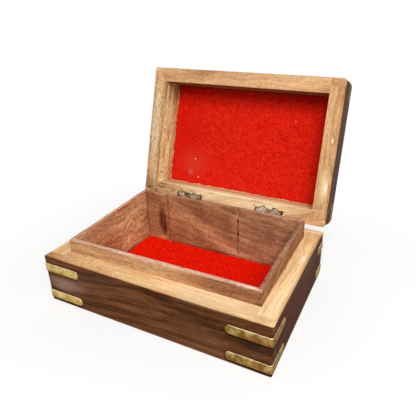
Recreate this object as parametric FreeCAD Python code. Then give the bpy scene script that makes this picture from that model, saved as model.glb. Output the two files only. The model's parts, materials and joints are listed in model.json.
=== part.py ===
import FreeCAD, Part
import math
import os

# Hinged wooden box with brass straps let into its corners, standing with its lid open.
# The origin is the middle of the underside. X runs along the front, +Y goes back to the
# hinges and +Z is up. Lengths are in millimetres and angles in degrees.

Vector = FreeCAD.Vector

# Carcass
box_length = 152.0
box_depth = 102.0
base_height = 33.0
lid_height = 24.0
wall_thickness = 11.0
corner_lap = 5.4
base_corner_round = {"front_left": 1.0, "front_right": 1.2, "back_left": 1.0, "back_right": 1.6}
lid_corner_round = {"front_left": 1.3, "front_right": 2.6, "back_left": 1.3, "back_right": 2.6}
least_round = 0.2
lid_edge_round = 1.05
foot_edge_bevel = 0.8
bottom_thickness = 4.0
top_thickness = 3.0
panel_ledge = 5.0
lid_open_angle = 107.0

# Liner that stands in the base and rises into the closed lid
liner_thickness = 2.6
liner_rise = {"front_left": 8.2, "front_right": 9.8, "back_left": 10.8, "back_right": 11.9}
liner_edge_round = 0.7
slot_width = 1.0
slot_depth = 0.8
slot_places = (-42.3, 16.8)

# Felt on the floor of the tray and inside the lid
felt_thickness = 0.9
felt_margin = 0.4

# Brass straps round the corners
strap_height = 6.0
strap_thickness = 1.0
strap_proud = 0.45
strap_end_round = 2.7
strap_end_flats = 4
strap_long_leg = 26.5
front_side_leg = 19.0
back_side_leg = 14.0
lid_side_leg = 15.5
upper_strap_drop = 8.7
lower_strap_lift = 5.3
lid_strap_lift = 15.5
upper_strap_slip = {"front_left": 0.9, "front_right": -1.1, "back_left": 0.2, "back_right": -0.5}
strap_pin_radius = 0.9
strap_pin_length = 7.0
strap_pin_inset = 4.5
strap_pin_proud = 0.08
fastener_sides = 8

# Hinges
hinge_width = 19.0
hinge_spacing = 67.2
leaf_thickness = 1.0
leaf_reach = 4.7
lobe_radius = 2.2
screw_spacing = 9.5
screw_inset = 3.9
knuckle_radius = 1.6
hinge_pin_radius = 0.8
hinge_pin_proud = 0.25
screw_head_radius = 1.7
screw_head_depth = 0.8
screw_shank_radius = 0.85
screw_length = 7.5
screw_point = 1.6
screw_slot_width = 0.45
screw_slot_depth = 0.35
screw_slot_turns = (62.0, 20.0)
mortise_end_room = 1.7
mortise_edge_room = 0.8

# Clearances
rim_gap = 0.3
lid_clearance = 0.4
swing_margin = 0.8
inlay_gap = 0.1
pin_hole_gap = 0.03
hinge_pin_clearance = 0.05
screw_gap = 0.04
knuckle_gap = 0.3
knuckle_side_gap = 0.2

# Derived sizes
half_length = box_length / 2
half_depth = box_depth / 2
lid_rail = wall_thickness - lid_clearance
# An edge's rounding or bevel stays smaller than the rounding of the corners that it meets.
foot_bevel = min(foot_edge_bevel, 0.85 * min(base_corner_round.values()))
top_round = min(lid_edge_round, 0.85 * min(lid_corner_round.values()))
# The lid's front rail swings up on an arc, and the front of the liner stands back from that arc.
front_rise = max(liner_rise["front_left"], liner_rise["front_right"])
swing_arc = front_rise ** 2 / (2 * (box_depth - lid_rail))
front_wall = lid_rail + swing_arc + swing_margin
tray_x = (-half_length + wall_thickness, half_length - wall_thickness)
tray_y = (-half_depth + front_wall, half_depth - wall_thickness)
recess_x = (-half_length + lid_rail, half_length - lid_rail)
recess_y = (-half_depth + lid_rail, half_depth - lid_rail)
liner_top = base_height + max(liner_rise.values())
lid_rim = base_height + rim_gap
lid_top = lid_rim + lid_height
lid_strap_level = lid_rim + lid_strap_lift
lower_strap_level = lower_strap_lift
upper_strap_level = base_height - upper_strap_drop
strap_seat = strap_thickness - strap_proud
hinge_y = half_depth + knuckle_radius + knuckle_gap
hinge_z = base_height + rim_gap / 2
screw_y = half_depth - screw_inset
# How far cutting shapes run past the surface that they cut, and how far in a strap's cutting bar starts
overrun = 5.0
leg_bite = max(list(base_corner_round.values()) + list(lid_corner_round.values())) + strap_thickness

corners = {"front_left": (-1, -1), "front_right": (1, -1), "back_left": (-1, 1), "back_right": (1, 1)}
hinge_places = {"left": -hinge_spacing / 2, "right": hinge_spacing / 2}


def block(x, y, z):
    """A box from two limits along each axis, in either order."""
    low = Vector(min(x), min(y), min(z))
    return Part.makeBox(max(x) - low.x, max(y) - low.y, max(z) - low.z, low)


def grown(limits, amount):
    """Two limits moved apart by the same amount at each end."""
    return (min(limits) - amount, max(limits) + amount)


def edges_along(shape, axis):
    """The straight edges that run along an axis."""
    return [e for e in shape.Edges
            if isinstance(e.Curve, Part.Line) and abs(getattr(e.tangentAt(e.FirstParameter), axis)) > 0.999]


def edges_at(edges, axis, level):
    """Those edges that lie wholly at one level on an axis."""
    near = 1e-6
    return [e for e in edges
            if abs(getattr(e.BoundBox, axis + "Min") - level) < near
            and abs(getattr(e.BoundBox, axis + "Max") - level) < near]


def plan_prism(grow, z, rounds):
    """The box's plan with a rounding at each corner, grown outwards and carried up through z."""
    prism = block(grown((-half_length, half_length), grow), grown((-half_depth, half_depth), grow), z)
    for name, (sign_x, sign_y) in corners.items():
        upright = edges_at(edges_along(prism, "z"), "X", sign_x * (half_length + grow))
        upright = edges_at(upright, "Y", sign_y * (half_depth + grow))
        prism = prism.makeFillet(max(rounds[name] + grow, least_round), upright)
    return prism


def ring(radius, level):
    """The points of a many-sided ring about Z."""
    angles = [2 * math.pi * i / fastener_sides for i in range(fastener_sides)]
    return [Vector(radius * math.cos(a), radius * math.sin(a), level) for a in angles]


def flat_face(points):
    return Part.Face(Part.makePolygon(points + points[:1]))


def ringed(rings):
    """A solid of flat faces through many-sided rings about Z, each a radius and a level."""
    outlines = [ring(radius, level) for radius, level in rings]
    faces = [flat_face(outlines[0]), flat_face(outlines[-1])]
    for near, far in zip(outlines, outlines[1:]):
        for i in range(fastener_sides):
            after = (i + 1) % fastener_sides
            faces.append(flat_face([near[i], near[after], far[after], far[i]]))
    solid = Part.makeSolid(Part.makeShell(faces))
    solid.fix(1e-7, 1e-7, 1e-7)
    return solid


def many_sided_pin(radius, length, start, direction):
    """A pin of equal flats from a start point along a direction."""
    pin = ringed([(radius, 0), (radius, length)])
    pin.rotate(Vector(0, 0, 0), Vector(0, 0, 1).cross(direction), 90)
    pin.translate(start)
    return pin


def turn(shape, place, angle):
    """A copy turned about a line along X through the hinge axis, as the lid opens."""
    turned = shape.copy()
    turned.rotate(place, Vector(-1, 0, 0), angle)
    return turned


# Boards


def frame_boards(z, front, back, side):
    """Four boards of a frame whose long boards are rebated at the ends to lap over the side boards."""
    y_sides = (-half_depth + corner_lap, half_depth - corner_lap)
    x_long = (-half_length, half_length)
    left = block((-half_length, -half_length + side), y_sides, z)
    right = block((half_length - side, half_length), y_sides, z)
    long_front = block(x_long, (-half_depth, -half_depth + front), z).cut([left, right])
    long_back = block(x_long, (half_depth - back, half_depth), z).cut([left, right])
    return {"front": long_front, "back": long_back, "left": left, "right": right}


def liner_board(side):
    """One liner board with a sloping rounded top, mitred at both ends, standing on the bottom panel."""
    (left, right), (front, back) = tray_x, tray_y
    ends = {
        "front": ((left, front, "front_left"), (right, front, "front_right"), Vector(0, liner_thickness, 0)),
        "back": ((left, back, "back_left"), (right, back, "back_right"), Vector(0, -liner_thickness, 0)),
        "left": ((left, front, "front_left"), (left, back, "back_left"), Vector(liner_thickness, 0, 0)),
        "right": ((right, front, "front_right"), (right, back, "back_right"), Vector(-liner_thickness, 0, 0)),
    }
    first, last, inwards = ends[side]
    outline = [Vector(x, y, bottom_thickness) for x, y, corner in (first, last)]
    outline += [Vector(x, y, base_height + liner_rise[corner]) for x, y, corner in (last, first)]
    board = flat_face(outline).extrude(inwards)
    along = "x" if side in ("front", "back") else "y"
    top_edges = [e for e in edges_along(board, along) if e.BoundBox.ZMin > base_height]
    board = board.makeFillet(liner_edge_round, top_edges)
    t = liner_thickness
    mitres = {
        "front": [(left, front), (right, front), (right - t, front + t), (left + t, front + t)],
        "back": [(left, back), (right, back), (right - t, back - t), (left + t, back - t)],
        "left": [(left, front), (left, back), (left + t, back - t), (left + t, front + t)],
        "right": [(right, front), (right, back), (right - t, back - t), (right - t, front + t)],
    }
    points = [Vector(px, py, bottom_thickness) for px, py in mitres[side]]
    return board.common(flat_face(points).extrude(Vector(0, 0, liner_top - bottom_thickness)))


def divider_slots(side):
    """Upright saw kerfs in the inner face of a long liner board, for slip-in dividers."""
    if side == "front":
        face, inwards = tray_y[0] + liner_thickness, -1
    else:
        face, inwards = tray_y[1] - liner_thickness, 1
    y = (face - inwards * overrun, face + inwards * slot_depth)
    z = (bottom_thickness + felt_thickness, liner_top + overrun)
    return [block((place - slot_width / 2, place + slot_width / 2), y, z) for place in slot_places]


# Straps and their pins


def strap_outline(leg_end, side_end, grow):
    """A leg seen square on: distance along its side and height, with its inner end rounded in short flats."""
    half = strap_height / 2 + grow
    end_round = min(strap_end_round, 0.49 * strap_height) + grow
    centre = leg_end - grow + end_round
    outline = [(side_end, -half), (side_end, half)]
    for start, middle in ((math.pi / 2, half - end_round), (math.pi, end_round - half)):
        for i in range(strap_end_flats + 1):
            angle = start + math.pi / 2 * i / strap_end_flats
            outline.append((centre + end_round * math.cos(angle), middle + end_round * math.sin(angle)))
    return outline


def strap_leg(corner, leg, along, level, grow):
    """A bar past one side of a corner, square to that side."""
    sign_x, sign_y = corner
    thick = leg_bite + overrun
    if along == "x":
        outline = strap_outline(half_length - leg, half_length + overrun, grow)
        points = [Vector(sign_x * u, sign_y * (half_depth - leg_bite), level + v) for u, v in outline]
        return flat_face(points).extrude(Vector(0, sign_y * thick, 0))
    outline = strap_outline(half_depth - leg, half_depth + overrun, grow)
    points = [Vector(sign_x * (half_length - leg_bite), sign_y * u, level + v) for u, v in outline]
    return flat_face(points).extrude(Vector(sign_x * thick, 0, 0))


def strap_band(corner, side_leg, level, grow, outwards, rounds):
    """The layer between the strap's seat and outwards, kept where the two legs of a strap lie."""
    z = grown((level - strap_height / 2, level + strap_height / 2), grow + overrun)
    layer = plan_prism(outwards, z, rounds).cut(plan_prism(-strap_seat, z, rounds))
    legs = strap_leg(corner, strap_long_leg, "x", level, grow).fuse(
        strap_leg(corner, side_leg, "y", level, grow))
    return layer.common(legs).removeSplitter()


def strap_pins(corner, side_leg, level, grow):
    """A pin through each leg near its round end, grown for the hole that it sits in."""
    sign_x, sign_y = corner
    head = strap_proud + strap_pin_proud + grow
    length = strap_pin_length + head + grow
    long_start = Vector(sign_x * (half_length - strap_long_leg + strap_pin_inset), sign_y * (half_depth + head), level)
    side_start = Vector(sign_x * (half_length + head), sign_y * (half_depth - side_leg + strap_pin_inset), level)
    return [
        many_sided_pin(strap_pin_radius + grow, length, long_start, Vector(0, -sign_y, 0)),
        many_sided_pin(strap_pin_radius + grow, length, side_start, Vector(-sign_x, 0, 0)),
    ]


# Hinges


def leaf_outline(place, z, edge_room, end_room):
    """The plan of a leaf: a strip as wide as the hinge with a round lobe about each screw."""
    x = (place - hinge_width / 2 - end_room, place + hinge_width / 2 + end_room)
    strip = block(x, (half_depth - leaf_reach - edge_room, hinge_y), z)
    height = max(z) - min(z)
    lobes = []
    for screw_x in screw_places(place):
        lobes.append(Part.makeCylinder(lobe_radius + edge_room, height, Vector(screw_x, screw_y, min(z))))
    return strip.fuse(lobes).removeSplitter()


def screw_places(place):
    return (place - screw_spacing / 2, place + screw_spacing / 2)


def knuckle_spans(place):
    """Limits along X of the two outer knuckles, which are the base's, and of the lid's middle one."""
    third = hinge_width / 3
    half_gap = knuckle_side_gap / 2
    outer = [(place - hinge_width / 2, place - third / 2 - half_gap),
             (place + third / 2 + half_gap, place + hinge_width / 2)]
    middle = [(place - third / 2 + half_gap, place + third / 2 - half_gap)]
    return outer, middle


def barrel(span, radius):
    start = Vector(min(span), hinge_y, hinge_z)
    return Part.makeCylinder(radius, max(span) - min(span), start, Vector(1, 0, 0))


def hinge_leaf(place, z, own_spans, other_spans, screw_holes):
    """A lobed leaf with its rolled knuckles, cut clear of the other leaf's knuckles."""
    leaf = leaf_outline(place, z, 0, 0)
    leaf = leaf.cut([barrel(grown(span, knuckle_side_gap), knuckle_radius + knuckle_gap) for span in other_spans])
    leaf = leaf.fuse([barrel(span, knuckle_radius) for span in own_spans])
    whole = (place - hinge_width, place + hinge_width)
    leaf = leaf.cut(barrel(whole, hinge_pin_radius + hinge_pin_clearance))
    return leaf.cut(screw_holes).removeSplitter()


def screw(place, surface, inwards, turn_angle, grow):
    """A countersunk slotted wood screw from a surface inwards; grown and unslotted, it is its hole."""
    head_r = screw_head_radius + grow
    shank_r = screw_shank_radius + grow
    top = surface - inwards * grow
    throat = surface + inwards * screw_head_depth
    straight = surface + inwards * (screw_length - screw_point)
    tip = surface + inwards * (screw_length + grow)
    rings = [(head_r, surface), (shank_r, throat), (shank_r, straight), (shank_r / 4, tip)]
    if grow > 0:
        rings.insert(0, (head_r, top))
    body = ringed(rings)
    if grow == 0:
        half_slot = screw_slot_width / 2
        cut = block((-overrun, overrun), (-half_slot, half_slot),
                    (surface - inwards * overrun, surface + inwards * screw_slot_depth))
        cut.rotate(Vector(0, 0, 0), Vector(0, 0, 1), turn_angle)
        body = body.cut(cut)
    body.translate(Vector(place, screw_y, 0))
    return body


def hinge_screws(place, surface, inwards, grow):
    return [screw(x, surface, inwards, angle, grow) for x, angle in zip(screw_places(place), screw_slot_turns)]


# Base

parts = {}
base_envelope = plan_prism(0, (0, base_height), base_corner_round)
base_envelope = base_envelope.makeChamfer(foot_bevel, edges_at(base_envelope.Edges, "Z", 0))
base_cuts = []
base_pins = []
for corner_name, corner in corners.items():
    base_side_leg = front_side_leg if corner[1] < 0 else back_side_leg
    levels = {"upper": upper_strap_level + upper_strap_slip[corner_name], "lower": lower_strap_level}
    for level_name, level in levels.items():
        holes = strap_pins(corner, base_side_leg, level, pin_hole_gap)
        strap = strap_band(corner, base_side_leg, level, 0, strap_proud, base_corner_round).cut(holes)
        parts["base_strap_%s_%s" % (corner_name, level_name)] = strap
        base_cuts += [strap_band(corner, base_side_leg, level, inlay_gap, overrun, base_corner_round)] + holes
        base_pins += strap_pins(corner, base_side_leg, level, 0)
parts["base_strap_pins"] = Part.makeCompound(base_pins)

bottom_panel = block(grown(tray_x, panel_ledge), grown(tray_y, panel_ledge), (0, bottom_thickness))
parts["bottom_panel"] = bottom_panel
base_leaf_z = (base_height - leaf_thickness, base_height)
base_screws = []
for hinge_name, place in hinge_places.items():
    outer_spans, middle_spans = knuckle_spans(place)
    holes = hinge_screws(place, base_height, -1, screw_gap)
    leaf = hinge_leaf(place, base_leaf_z, outer_spans, middle_spans, holes)
    parts["%s_hinge_base_leaf" % hinge_name] = leaf
    base_cuts += holes
    base_cuts.append(leaf_outline(place, (base_leaf_z[0], base_height + overrun), mortise_edge_room, mortise_end_room))
    base_screws += hinge_screws(place, base_height, -1, 0)
    pin_span = (place - hinge_width / 2 - hinge_pin_proud, place + hinge_width / 2 + hinge_pin_proud)
    parts["%s_hinge_pin" % hinge_name] = barrel(pin_span, hinge_pin_radius)
parts["hinge_base_screws"] = Part.makeCompound(base_screws)

for board_name, board in frame_boards((0, base_height), front_wall, wall_thickness, wall_thickness).items():
    wall = board.common(base_envelope).cut([bottom_panel] + base_cuts)
    parts["base_%s_wall" % board_name] = wall

for board_name in ("front", "back", "left", "right"):
    liner = liner_board(board_name)
    if board_name in ("front", "back"):
        liner = liner.cut(divider_slots(board_name))
    parts["liner_%s" % board_name] = liner
floor_z = (bottom_thickness, bottom_thickness + felt_thickness)
parts["floor_felt"] = block(grown(tray_x, -liner_thickness - felt_margin),
                            grown(tray_y, -liner_thickness - felt_margin), floor_z)

# Lid, built closed

lid = {}
lid_envelope = plan_prism(0, (lid_rim, lid_top), lid_corner_round)
lid_envelope = lid_envelope.makeFillet(top_round, edges_at(lid_envelope.Edges, "Z", lid_top))
lid_cuts = []
lid_pins = []
for corner_name, corner in corners.items():
    holes = strap_pins(corner, lid_side_leg, lid_strap_level, pin_hole_gap)
    strap = strap_band(corner, lid_side_leg, lid_strap_level, 0, strap_proud, lid_corner_round).cut(holes)
    lid["lid_strap_%s" % corner_name] = strap
    lid_cuts += [strap_band(corner, lid_side_leg, lid_strap_level, inlay_gap, overrun, lid_corner_round)] + holes
    lid_pins += strap_pins(corner, lid_side_leg, lid_strap_level, 0)
lid["lid_strap_pins"] = Part.makeCompound(lid_pins)

under_top = lid_top - top_thickness
top_panel = block(grown(recess_x, panel_ledge), grown(recess_y, panel_ledge), (under_top, lid_top))
lid["lid_top_panel"] = top_panel
lid["lid_felt"] = block(grown(recess_x, -felt_margin), grown(recess_y, -felt_margin),
                        (under_top - felt_thickness, under_top))
lid_leaf_z = (lid_rim, lid_rim + leaf_thickness)
lid_screws = []
for hinge_name, place in hinge_places.items():
    outer_spans, middle_spans = knuckle_spans(place)
    holes = hinge_screws(place, lid_rim, 1, screw_gap)
    lid["%s_hinge_lid_leaf" % hinge_name] = hinge_leaf(place, lid_leaf_z, middle_spans, outer_spans, holes)
    lid_cuts += holes
    lid_cuts.append(leaf_outline(place, (lid_rim - overrun, lid_leaf_z[1]), mortise_edge_room, mortise_end_room))
    lid_screws += hinge_screws(place, lid_rim, 1, 0)
lid["hinge_lid_screws"] = Part.makeCompound(lid_screws)

lid_names = {"front": "lid_front_rail", "back": "lid_back_rail", "left": "lid_left_stile", "right": "lid_right_stile"}
for board_name, board in frame_boards((lid_rim, lid_top), lid_rail, lid_rail, lid_rail).items():
    lid[lid_names[board_name]] = board.common(lid_envelope).cut([top_panel] + lid_cuts)

# The lid stands open

hinge_axis = Vector(0, hinge_y, hinge_z)
for node, shape in lid.items():
    parts[node] = turn(shape, hinge_axis, lid_open_angle)

os.makedirs("parts", exist_ok=True)
for node, shape in parts.items():
    shape.exportStep("parts/%s.step" % node)
print("%d nodes, %d solids" % (len(parts), sum(len(shape.Solids) for shape in parts.values())))
print("hinge axis at y %.3f, z %.3f" % (hinge_y, hinge_z))
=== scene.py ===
import json
import math

import bmesh
import bpy
import numpy as np
from mathutils import Matrix, Vector


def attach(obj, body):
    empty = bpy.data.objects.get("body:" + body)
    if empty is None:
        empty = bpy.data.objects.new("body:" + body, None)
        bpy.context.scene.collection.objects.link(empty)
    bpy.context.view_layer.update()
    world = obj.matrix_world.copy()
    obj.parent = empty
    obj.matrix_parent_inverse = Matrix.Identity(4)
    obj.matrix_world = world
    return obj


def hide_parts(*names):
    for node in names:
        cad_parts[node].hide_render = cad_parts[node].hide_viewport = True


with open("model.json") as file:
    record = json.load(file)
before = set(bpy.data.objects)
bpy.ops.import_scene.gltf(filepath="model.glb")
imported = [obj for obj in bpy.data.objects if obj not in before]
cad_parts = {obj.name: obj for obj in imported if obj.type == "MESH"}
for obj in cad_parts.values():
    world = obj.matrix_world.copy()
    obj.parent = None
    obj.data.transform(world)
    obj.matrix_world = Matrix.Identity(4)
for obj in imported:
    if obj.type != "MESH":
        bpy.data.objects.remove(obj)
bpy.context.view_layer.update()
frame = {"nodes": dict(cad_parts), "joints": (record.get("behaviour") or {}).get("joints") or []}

mm = 0.001
join = np.concatenate
bpy.context.scene.view_settings.view_transform = "Standard"

# The whole box in millimetres, with the lid shut. The lid turns about the hinge line to stand open.
boxSize = dict(halfLength=76.0, halfDepth=51.0, baseTop=33.0, lidRim=33.3, lidHeight=24.0, lidRail=10.6,
    lap=5.4, lapRoom=5.43, trayHalf=65.0, trayFront=-39.0746, trayBack=40.0,
    bottom=4.0, top=3.0, ledge=5.0)
baseRound = dict(front_left=1.0, front_right=1.2, back_left=1.0, back_right=1.6)  # roundings of the corners
lidRound = dict(front_left=1.3, front_right=2.6, back_left=1.3, back_right=2.6)
halfLong, halfDeep = boxSize["halfLength"], boxSize["halfDepth"]
lidJoint = frame["joints"][0]
hingeY, hingeZ = lidJoint["pos_m"][1] / mm, lidJoint["pos_m"][2] / mm
openAngle = math.radians(-min(lidJoint["range_deg"]))


# numbers

def ease(a, b, x):  # 0 at a, 1 at b, with a smooth start and end
    t = np.clip((x - a) / (b - a), 0.0, 1.0)
    return t * t * (3.0 - 2.0 * t)


def waver(x, seed, step):  # noise on a line: random knots every step, joined by eased curves
    count = 512
    knots = np.random.RandomState(seed).uniform(-1, 1, count)
    p = np.asarray(x) / step + 200.0
    i = np.floor(p).astype(int)
    f = ease(0, 1, p - i)
    return knots[i % count] * (1 - f) + knots[(i + 1) % count] * f


def patches(x, y, seed, step):  # noise on a surface: a square lattice of random knots, eased between
    count = 128
    knots = np.random.RandomState(seed).uniform(-1, 1, (count, count))
    px, py = np.asarray(x) / step + 60.0, np.asarray(y) / step + 60.0
    i, j = np.floor(px).astype(int), np.floor(py).astype(int)
    f, g = ease(0, 1, px - i), ease(0, 1, py - j)
    i0, i1, j0, j1 = i % count, (i + 1) % count, j % count, (j + 1) % count
    low = knots[i0, j0] * (1 - f) + knots[i1, j0] * f
    high = knots[i0, j1] * (1 - f) + knots[i1, j1] * f
    return low * (1 - g) + high * g


def openLid(p):  # a point of the shut lid, turned back about the hinge line
    y, z = p[..., 1] - hingeY, p[..., 2] - hingeZ
    c, s = math.cos(openAngle), math.sin(openAngle)
    return np.stack([p[..., 0], hingeY + y * c + z * s, hingeZ - y * s + z * c], -1)


# meshes

def makePiece(name, shut, faces, body, material, nodes=(), fields=None, sharp=38.0):
    points = openLid(shut) if body == "lid" else shut  # worked out on the shut box, then turned with the lid
    mesh = bpy.data.meshes.new(name)
    mesh.from_pydata((points * mm).tolist(), [], faces)
    work = bmesh.new()
    work.from_mesh(mesh)
    bmesh.ops.recalc_face_normals(work, faces=work.faces)
    work.to_mesh(mesh)
    work.free()
    for key, values in (fields or {}).items():
        vector = values.ndim == 2
        spot = mesh.attributes.new(key, "FLOAT_VECTOR" if vector else "FLOAT", "POINT")
        spot.data.foreach_set("vector" if vector else "value", values.astype(np.float32).ravel())
    mesh.polygons.foreach_set("use_smooth", np.ones(len(mesh.polygons), bool))
    mesh.set_sharp_from_angle(angle=math.radians(sharp))
    mesh.materials.append(material)
    piece = bpy.data.objects.new(name, mesh)
    bpy.context.scene.collection.objects.link(piece)
    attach(piece, body)
    if nodes:
        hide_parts(*nodes)
    return piece


def gridQuads(rows, cols, closeRows=False, closeCols=False):  # quads of a grid, closed on itself where asked
    i = np.arange(rows if closeRows else rows - 1)[:, None]
    j = np.arange(cols if closeCols else cols - 1)[None, :]
    a, b, k = i * cols, (i + 1) % rows * cols, (j + 1) % cols
    return np.stack([a + j, a + k, b + k, b + j], -1).reshape(-1, 4)


def slabFaces(nu, nv):  # a grid above, the same grid below, and a strip round the border
    i, j = np.arange(nu - 1)[:, None], np.arange(nv - 1)[None, :]
    a = i * nv + j
    top = np.stack([a, a + nv, a + nv + 1, a + 1], -1).reshape(-1, 4)
    low = top[:, ::-1] + nu * nv
    ring = join([np.arange(nu) * nv, (nu - 1) * nv + np.arange(1, nv),
            (np.arange(nu - 1)[::-1]) * nv + nv - 1, np.arange(1, nv - 1)[::-1]])
    after = np.roll(ring, -1)
    side = np.stack([ring, ring + nu * nv, after + nu * nv, after], -1)
    return join([top, low, side]).tolist()


def slabGrid(gx, gy, x, y):  # the grid's points, and how far each is from the nearest border
    gridX, gridY = np.meshgrid(gx, gy, indexing="ij")
    edge = np.minimum(np.minimum(gridX - x[0], x[1] - gridX), np.minimum(gridY - y[0], y[1] - gridY))
    return gridX, gridY, edge


# shader nodes

def newMaterial(name):  # a material, its node tree and its main shader
    material = bpy.data.materials.new(name)
    material.use_nodes = True
    return material, material.node_tree, material.node_tree.nodes["Principled BSDF"]


def setInputs(tree, node, inputs):  # a socket is linked in, anything else is set as a value
    for key, value in inputs.items():
        entry = node.inputs[key]
        if isinstance(value, bpy.types.NodeSocket):
            tree.links.new(value, entry)
        else:
            entry.default_value = (*value, 1.0) if entry.type == "RGBA" and len(value) == 3 else value


def addNode(tree, kind, inputs=None, **props):  # a node with its settings and its inputs
    node = tree.nodes.new(kind)
    for key, value in props.items():
        setattr(node, key, value)
    setInputs(tree, node, inputs or {})
    return node


def field(tree, name, output="Fac"):  # a value that the mesh carries at its points
    return addNode(tree, "ShaderNodeAttribute", attribute_name=name).outputs[output]


def calc(tree, how, a, b=0.0, c=0.0):  # a sum on up to three values
    return addNode(tree, "ShaderNodeMath", {0: a, 1: b, 2: c}, operation=how).outputs[0]


def times(tree, a, b):  # a times b
    return calc(tree, "MULTIPLY", a, b)


def addTimes(tree, a, b, c):  # a times b, plus c
    return calc(tree, "MULTIPLY_ADD", a, b, c)


def vectors(tree, how, a, b=(0.0, 0.0, 0.0), output=0):  # a sum on one or two vectors
    return addNode(tree, "ShaderNodeVectorMath", {0: a, 1: b}, operation=how).outputs[output]


def cloud(tree, vector, factors, detail=3.0, rough=0.55, warp=0.0):  # noise on a stretched vector
    stretched = vectors(tree, "MULTIPLY", vector, factors)
    return addNode(tree, "ShaderNodeTexNoise", {"Vector": stretched, "Scale": 1.0, "Detail": detail,
            "Roughness": rough, "Distortion": warp}).outputs["Fac"]


def between(tree, value, low, high, toLow=0.0, toHigh=1.0):  # a smooth ramp of a value
    return addNode(tree, "ShaderNodeMapRange",
        {"Value": value, "From Min": low, "From Max": high, "To Min": toLow, "To Max": toHigh},
        interpolation_type="SMOOTHSTEP").outputs["Result"]


def colours(tree, value, stops):  # a ramp through the stops, each a place from 0 to 1 and a colour
    node = addNode(tree, "ShaderNodeValToRGB", {"Fac": value})
    ramp = node.color_ramp
    while len(ramp.elements) < len(stops):
        ramp.elements.new(0.5)
    for element, (place, colour) in zip(ramp.elements, stops):
        element.position = place
        element.color = (*colour, 1.0)
    return node.outputs["Color"]


def blendIn(tree, share, under, over, how="MIX"):  # a share of one colour laid over another
    node = addNode(tree, "ShaderNodeMix", {0: share, 6: under, 7: over}, data_type="RGBA", blend_type=how)
    return node.outputs[2]


def bumped(tree, height, strength, distance):  # the normal of a surface raised by a height
    return addNode(tree, "ShaderNodeBump",
        {"Height": height, "Strength": strength, "Distance": distance}).outputs["Normal"]


def addMarks(tree, colour, marks):  # a mark is whole inside its core and fades to the edge of its ellipsoid
    # a row: point of the shut box, reach along each axis, core, strength, colour
    for x, y, z, a, b, c, core, share, tint, *how in marks:
        away = vectors(tree, "SUBTRACT", field(tree, "shut", "Vector"), (x, y, z))
        away = vectors(tree, "MULTIPLY", away, (1.0 / a, 1.0 / b, 1.0 / c))
        far = vectors(tree, "LENGTH", away, output="Value")
        colour = blendIn(tree, between(tree, far, 1.0, core, 0.0, share), colour, tint, *how)
    return colour


# Wood: the grain wanders, then broad figure, streaks and fine fibres along it set the colour, and pores cut
# into it. The outside palette is the polished surface, the bare palette the sawn one.

# a noise is its waves per mm along, across and through the grain, then detail, roughness and warp
woodPlain = dict(
    drift=((0.020, 0.05, 0.05), 2.0, 0.5), broad=((0.010, 0.13, 0.13), 3.0, 0.5, 0.3),
    streak=((0.016, 0.95, 0.95), 4.0, 0.6, 0.1), fine=((0.06, 2.6, 2.6), 3.0, 0.6),
    fibre=((0.13, 5.0, 5.0), 3.0, 0.65), fleck=((0.45, 1.5, 1.5), 4.0, 0.7, 0.8),
    pore=((0.20, 2.2, 2.2), 2.0, 0.5, 0.15), saw=((1.6, 0.08, 0.08), 2.0),
    rings=(0.006, 0.11, 0.11), ringWarp=4.0, ringDetail=3.0, ringFine=1.3, wander=5.0,
    fleckRange=(0.48, 0.60), poreRange=(0.60, 0.69), bareRange=(0.35, 0.65), bareRagged=0.5,
    wornRange=(0.45, 0.62), pitchShadeRange=(0.46, 0.28), pitchShadeRagged=0.2,
    broadShare=0.42, streakShare=0.40, fineShare=0.22, ringShare=0.06, low=0.38, high=0.74,  # polished figure
    bareBroad=0.46, bareStreak=0.30, bareFine=0.26, bareLow=0.40, bareHigh=0.66,  # sawn figure
    poreShare=0.5, poreBare=0.12, fleckColour=(0.44, 0.30, 0.21), wear=0.3,
    grimeShadeColour=(0.26, 0.22, 0.20), grimeShadeShare=0.55, grimeShadeReach=1.3, pitchShadeColour=(0.010, 0.006, 0.004),
    polish=0.46, sawnRough=0.20, streakRough=0.25, gloss=0.02,
    fibreDepth=0.5, poreDepth=-0.8, sawDepth=0.35, bump=0.35, bumpDepth=0.00025)


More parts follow.
